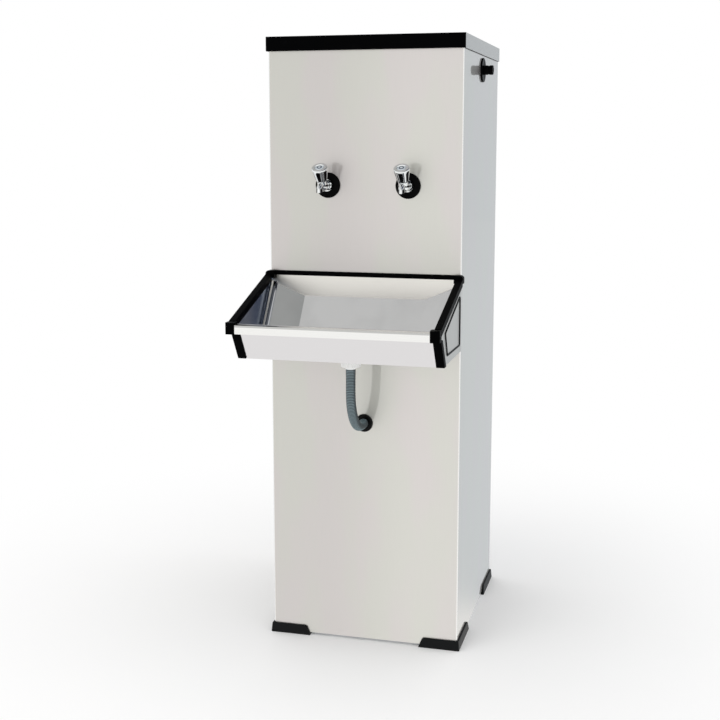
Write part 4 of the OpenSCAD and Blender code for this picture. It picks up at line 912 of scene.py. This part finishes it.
def add_piece(name, data, body, material):
    """Links a new piece of the part, on a body and with its finish."""
    piece = bpy.data.objects.new(name, data)
    data.materials.append(material)
    bpy.context.collection.objects.link(piece)
    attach(piece, body)
    return piece


# The half-inch pipe thread on the stem of the water inlet: half the width of its ridge, how far it
# stands out and goes in, how finely a turn is cut, and the steps in which it runs out
INLET = {mount["name"]: mount for mount in frame["record"]["mounts"]}["water_inlet"]
THREAD_PITCH = 1.814 * MM
THREAD_HALF = 0.62 * MM
THREAD_RISE = 0.34 * MM
THREAD_ROOT = 0.10 * MM
THREAD_STEPS = 48
THREAD_RUNOUT = 12


def thread_mesh(name):
    """A ridge wound round the inlet's stem, running out to nothing at both ends."""
    middle = Vector(INLET["pos_m"])
    radius = INLET["dims"]["r_mm"] * MM
    length = INLET["dims"]["length_mm"] * MM - 2 * THREAD_HALF
    count = round(length / THREAD_PITCH * THREAD_STEPS)
    verts = []
    for i in range(count + 1):
        turn = 2 * math.pi * i / THREAD_STEPS
        out = Vector((0, math.cos(turn), math.sin(turn)))
        along = (i / count - 0.5) * length
        crest = THREAD_RISE * min(1, i / THREAD_RUNOUT, (count - i) / THREAD_RUNOUT)
        for aside, up in ((-THREAD_HALF, -THREAD_ROOT), (0, crest), (THREAD_HALF, -THREAD_ROOT)):
            verts.append(middle + Vector((along + aside, 0, 0)) + out * (radius + up))
    faces = [(0, 1, 2), (3 * count + 2, 3 * count + 1, 3 * count)]
    for i in range(count):
        for k in range(3):
            j = (k + 1) % 3
            faces.append((3 * i + j, 3 * i + k, 3 * i + 3 + k, 3 * i + 3 + j))
    mesh = bpy.data.meshes.new(name)
    mesh.from_pydata(verts, [], faces)
    return mesh


class COOLER_OT_inlet(bpy.types.Operator):
    """Make the thread of the water inlet and finish the black fittings"""

    bl_idname = "cooler.inlet"
    bl_label = "Inlet and fittings"

    def execute(self, context):
        black = moulded("fitting_plastic", context.scene.cooler_plastic.gloss_color)
        dress(black, "inlet_flange", "float_valve", "cable_gland", "thermostat_knob")
        add_piece("inlet_thread", thread_mesh("inlet_thread"), "cabinet", black)
        return {"FINISHED"}


# Middle line of the groove in a side panel, as Y and Z in metres, and the bends at its corners
GROOVE_LINE = [(-0.2545, 0.8013), (-0.4171, 0.7471), (-0.3931, 0.6985), (-0.2545, 0.6965)]
GROOVE_BEND = 4 * MM
BEND_STEPS = 6
BEAD_STEPS = 3


def rounded_loop(corners, radius):
    """The points of a closed line whose corners are rounded off."""
    points = []
    for i, corner in enumerate(corners):
        corner = Vector(corner)
        before = (Vector(corners[i - 1]) - corner).normalized()
        after = (Vector(corners[(i + 1) % len(corners)]) - corner).normalized()
        reach = radius / math.tan(before.angle(after) / 2)
        start, end = corner + before * reach, corner + after * reach
        for step in range(BEND_STEPS + 1):
            s = step / BEND_STEPS
            points.append(start.lerp(corner, s).lerp(corner.lerp(end, s), s))
    return points


def bead_curve(name, points, diameter):
    """A closed round cord along a line."""
    curve = bpy.data.curves.new(name, "CURVE")
    curve.dimensions = "3D"
    curve.bevel_depth = diameter / 2
    curve.bevel_resolution = BEAD_STEPS
    spline = curve.splines.new("POLY")
    spline.points.add(len(points) - 1)
    spline.use_cyclic_u = True
    for knot, point in zip(spline.points, points):
        knot.co = (*point, 1.0)
    return curve


class COOLER_OT_beads(bpy.types.Operator):
    """Make the black beads in the grooves of the basin's side panels"""

    bl_idname = "cooler.beads"
    bl_label = "Side panel beads"

    def execute(self, context):
        form = context.scene.cooler_detail
        rubber = moulded("bead_rubber", context.scene.cooler_plastic.trim_color)
        loop = rounded_loop(GROOVE_LINE, GROOVE_BEND)
        for side, x in zip(SIDES, (SHELL_LOW.x, SHELL_HIGH.x)):
            name = f"side_panel_bead_{side}"
            points = [(x, *point) for point in loop]
            add_piece(name, bead_curve(name, points, form.bead), "cabinet", rubber)
        return {"FINISHED"}


# The line where each wing of the basin meets the side panel: where it starts under the rim,
# its direction down the slope, the wing's own direction inwards and its outward normal
SEAM_START = Vector((0.2118, -0.2372, 0.8210))
SEAM_LENGTH = 0.170
SEAM_DOWN = Vector((0, -0.5882, -0.8087))
WING_IN = Vector((-0.9714, 0.1921, -0.1397))
WING_UP = Vector((-0.2375, -0.7856, 0.5714))
# Outline of the seam across its length: distance from the side panel in millimetres, and
# height as a share of the seam's full height
SEAM_OUTLINE = [
    (0.0, 0.0), (0.0, 0.75), (0.3, 0.93), (0.8, 1.0), (1.3, 0.93), (4.3, 0.20), (4.8, 0.12),
    (9.2, 0.12), (9.6, 0.20), (10.2, 0.55), (10.7, 0.62), (11.2, 0.57), (13.8, 0.08), (14.6, 0.0),
]
# The painted shade in the joint between its two folds: where it begins and ends, and its colour
JOINT_IN, JOINT_OUT = (4.2 * MM, 5.0 * MM), (8.2 * MM, 9.2 * MM)
JOINT_SHADE_COLOR = (0.11, 0.12, 0.15)


def seam_mesh(name, height, mirror):
    """Two low folds side by side, running down the wing."""
    mesh = bpy.data.meshes.new(name)
    count = len(SEAM_OUTLINE)
    verts = []
    for along in (0.0, SEAM_LENGTH):
        for out, up in SEAM_OUTLINE:
            point = SEAM_START + SEAM_DOWN * along
            point = point + WING_IN * (out * MM) + WING_UP * (up * height)
            verts.append((point.x * mirror, point.y, point.z))
    faces = [(i, (i + 1) % count, count + (i + 1) % count, count + i) for i in range(count)]
    faces += [tuple(range(count))[::-1], tuple(range(count, 2 * count))]
    mesh.from_pydata(verts, [], [face[::-1] for face in faces] if mirror < 0 else faces)
    return mesh


def seam_steel(look):
    """Polished folds in the lip's painted lit colour, with painted shade in the joint between them."""
    paint = new_paint("seam_stainless")
    place = paint.place()
    inwards = SEAM_START.x - abs(paint.parts(place)[0])
    joint = inwards.between(*JOINT_IN) * (1 - inwards.between(*JOINT_OUT))
    smear = paint.noise(place, 160.0, 4.0)
    # Painted shade in the joint; the folds take the lip's painted light
    shade = paint.mixed(joint, look.lit_lip_color, JOINT_SHADE_COLOR)
    return paint.finish(base_color=shade, metallic=1.0, roughness=0.08 + 0.06 * smear)


class COOLER_OT_seams(bpy.types.Operator):
    """Make the folded seams between the basin's wings and its side panels"""

    bl_idname = "cooler.seams"
    bl_label = "Basin seams"

    def execute(self, context):
        steel = seam_steel(context.scene.cooler_steel)
        for side, mirror in zip(SIDES, (-1, 1)):
            name = f"basin_seam_{side}"
            mesh = seam_mesh(name, context.scene.cooler_detail.seam, mirror)
            add_piece(name, mesh, "cabinet", steel)
        return {"FINISHED"}


# The scale is printed on the rear panel and starts straight below the dial; distances are from
# the dial's axis
DIAL = JOINTS["thermostat_turn"]
DIAL_X, DIAL_Z = DIAL["pos_m"][0], DIAL["pos_m"][2]
DIAL_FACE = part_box("thermostat_knob")[1].y
PANEL_FACE = DIAL["pos_m"][1] + 1 * MM
TICK_START, TICK_END, TICK_SHORT, TICK_WIDTH = 21 * MM, 25.5 * MM, 23.5 * MM, 1 * MM
MARK_START, MARK_END, MARK_WIDTH = 8 * MM, 17 * MM, 1.4 * MM
DIGIT_OUT = 31 * MM
INK = 0.15 * MM


def bar_corners(turn, near, far, width, face):
    """Corners of a thin printed bar that points away from the dial's axis."""
    away = Vector((-math.sin(turn), 0, -math.cos(turn)))
    aside = Vector((math.cos(turn), 0, -math.sin(turn))) * (width / 2)
    middle = Vector((DIAL_X, face, DIAL_Z))
    start, end = middle + away * near, middle + away * far
    low = [start - aside, start + aside, end + aside, end - aside]
    return low + [corner + Vector((0, INK, 0)) for corner in low]


def bars_mesh(name, bars):
    box_faces = [
        (0, 1, 2, 3), (7, 6, 5, 4), (0, 4, 5, 1), (1, 5, 6, 2), (2, 6, 7, 3), (3, 7, 4, 0)]
    verts = [corner for bar in bars for corner in bar]
    faces = [[8 * i + k for k in face] for i in range(len(bars)) for face in box_faces]
    mesh = bpy.data.meshes.new(name)
    mesh.from_pydata(verts, [], faces)
    return mesh


class COOLER_OT_dial(bpy.types.Operator):
    """Make the thermostat's printed scale and the mark on its dial"""

    bl_idname = "cooler.dial"
    bl_label = "Thermostat scale"

    def execute(self, context):
        form = context.scene.cooler_detail
        ink = moulded("scale_ink", PAINT_BLACK)
        white = moulded("mark_white", MARK_WHITE)
        span = math.radians(DIAL["range_deg"][1])
        steps = 2 * (form.digits - 1)
        bars = []
        for step in range(steps + 1):
            turn = span * step / steps
            far = TICK_SHORT if step % 2 else TICK_END
            bars.append(bar_corners(turn, TICK_START, far, TICK_WIDTH, PANEL_FACE))
        ticks = bars_mesh("scale_ticks", bars)
        add_piece("scale_ticks", ticks, "cabinet", ink)
        mark = bars_mesh("dial_mark", [bar_corners(0, MARK_START, MARK_END, MARK_WIDTH, DIAL_FACE)])
        add_piece("dial_mark", mark, "thermostat_dial", white)
        for i in range(form.digits):
            turn = span * i / (form.digits - 1)
            digit = bpy.data.curves.new(f"scale_digit_{form.digits - i}", "FONT")
            digit.body = str(form.digits - i)
            digit.size = form.digit
            digit.align_x = digit.align_y = "CENTER"
            digit.extrude = INK / 2
            piece = add_piece(digit.name, digit, "cabinet", ink)
            x = DIAL_X - DIGIT_OUT * math.sin(turn)
            z = DIAL_Z - DIGIT_OUT * math.cos(turn)
            piece.location = (x, PANEL_FACE + INK / 2, z)
            piece.rotation_euler = (math.pi / 2, 0, math.pi)
        return {"FINISHED"}


# Foam of the tank: its two tones, how many pores there are to a metre and how deep they are
FOAM_DARK, FOAM_LIGHT = (0.80, 0.72, 0.46), (0.88, 0.82, 0.60)
FOAM_PORES = 420.0
PORE_DEPTH = 0.6 * MM


def insulation():
    """Pale poured foam with open cells on its skin."""
    paint = new_paint("tank_insulation")
    place = paint.place()
    pores = paint.cells(place, FOAM_PORES)
    cloud = paint.noise(place, 18.0, 4.0)
    shade = paint.mixed(cloud, FOAM_DARK, FOAM_LIGHT)
    return paint.finish(base_color=shade, roughness=0.85, normal=paint.bumped(pores, PORE_DEPTH))


def enamel(name, color, depth):
    """Black or grey stoved paint with a slight orange peel."""
    paint = new_paint(name)
    place = paint.place()
    peel = paint.noise(place, 260.0, 2.0)
    dust = paint.noise(place, 20.0, 4.0).between(0.5, 0.8)
    shade = paint.mixed(dust * 0.4, color, tuple(c + 0.05 for c in color))
    normal = paint.bumped(peel, depth)
    return paint.finish(base_color=shade, roughness=0.30 + 0.2 * dust, normal=normal)


class COOLER_OT_cooling(bpy.types.Operator):
    """Finish the tank's insulation and the cooling unit"""

    bl_idname = "cooler.cooling"
    bl_label = "Tank and cooling unit"

    def execute(self, context):
        dress(insulation(), "tank_foam")
        dress(metal("copper_tube", COPPER, rough=0.26), "evaporator_coil", "refrigerant_lines")
        dress(enamel("compressor_enamel", PAINT_BLACK, depth=0.08 * MM), "compressor")
        dress(enamel("motor_enamel", MOTOR_GREY, depth=0.05 * MM), "fan_motor")
        dress(metal("fin_aluminium", ALUMINIUM, rough=0.30), "condenser")
        dress(moulded("dark_moulding", DARK_PLASTIC), "inlet_nut", "thermostat", "fan_blade")
        return {"FINISHED"}


class COOLER_PT_panel(bpy.types.Panel):
    """Lists the pieces of the water cooler"""

    bl_label = "Water cooler"
    bl_space_type = "VIEW_3D"
    bl_region_type = "UI"
    bl_category = "Cooler"

    def draw(self, context):
        for operator in OPERATORS:
            self.layout.operator(operator.bl_idname)
        for group in GROUPS:
            settings = getattr(context.scene, group)
            for name in settings.bl_rna.properties.keys():
                if name not in {"rna_type", "name"}:
                    self.layout.prop(settings, name)


GROUPS = {
    "cooler_steel": SteelLook,
    "cooler_plastic": PlasticLook,
    "cooler_hose": HoseForm,
    "cooler_detail": DetailForm,
    "cooler_studio": StudioLook,
}
OPERATORS = (
    COOLER_OT_stage, COOLER_OT_hose, COOLER_OT_cabinet, COOLER_OT_taps, COOLER_OT_basin,
    COOLER_OT_inlet, COOLER_OT_beads, COOLER_OT_seams, COOLER_OT_dial, COOLER_OT_cooling)
CLASSES = (*GROUPS.values(), *OPERATORS, COOLER_PT_panel)


def register():
    for cls in CLASSES:
        bpy.utils.register_class(cls)
    for name, group in GROUPS.items():
        setattr(bpy.types.Scene, name, PointerProperty(type=group))


def unregister():
    for name in GROUPS:
        delattr(bpy.types.Scene, name)
    for cls in reversed(CLASSES):
        bpy.utils.unregister_class(cls)


def main():
    register()
    bpy.context.scene.view_settings.view_transform = "Standard"
    bpy.ops.cooler.stage()
    bpy.ops.cooler.hose()
    bpy.ops.cooler.cabinet()
    bpy.ops.cooler.taps()
    bpy.ops.cooler.basin()
    bpy.ops.cooler.inlet()
    bpy.ops.cooler.beads()
    bpy.ops.cooler.seams()
    bpy.ops.cooler.dial()
    bpy.ops.cooler.cooling()


if __name__ == "__main__":
    main()
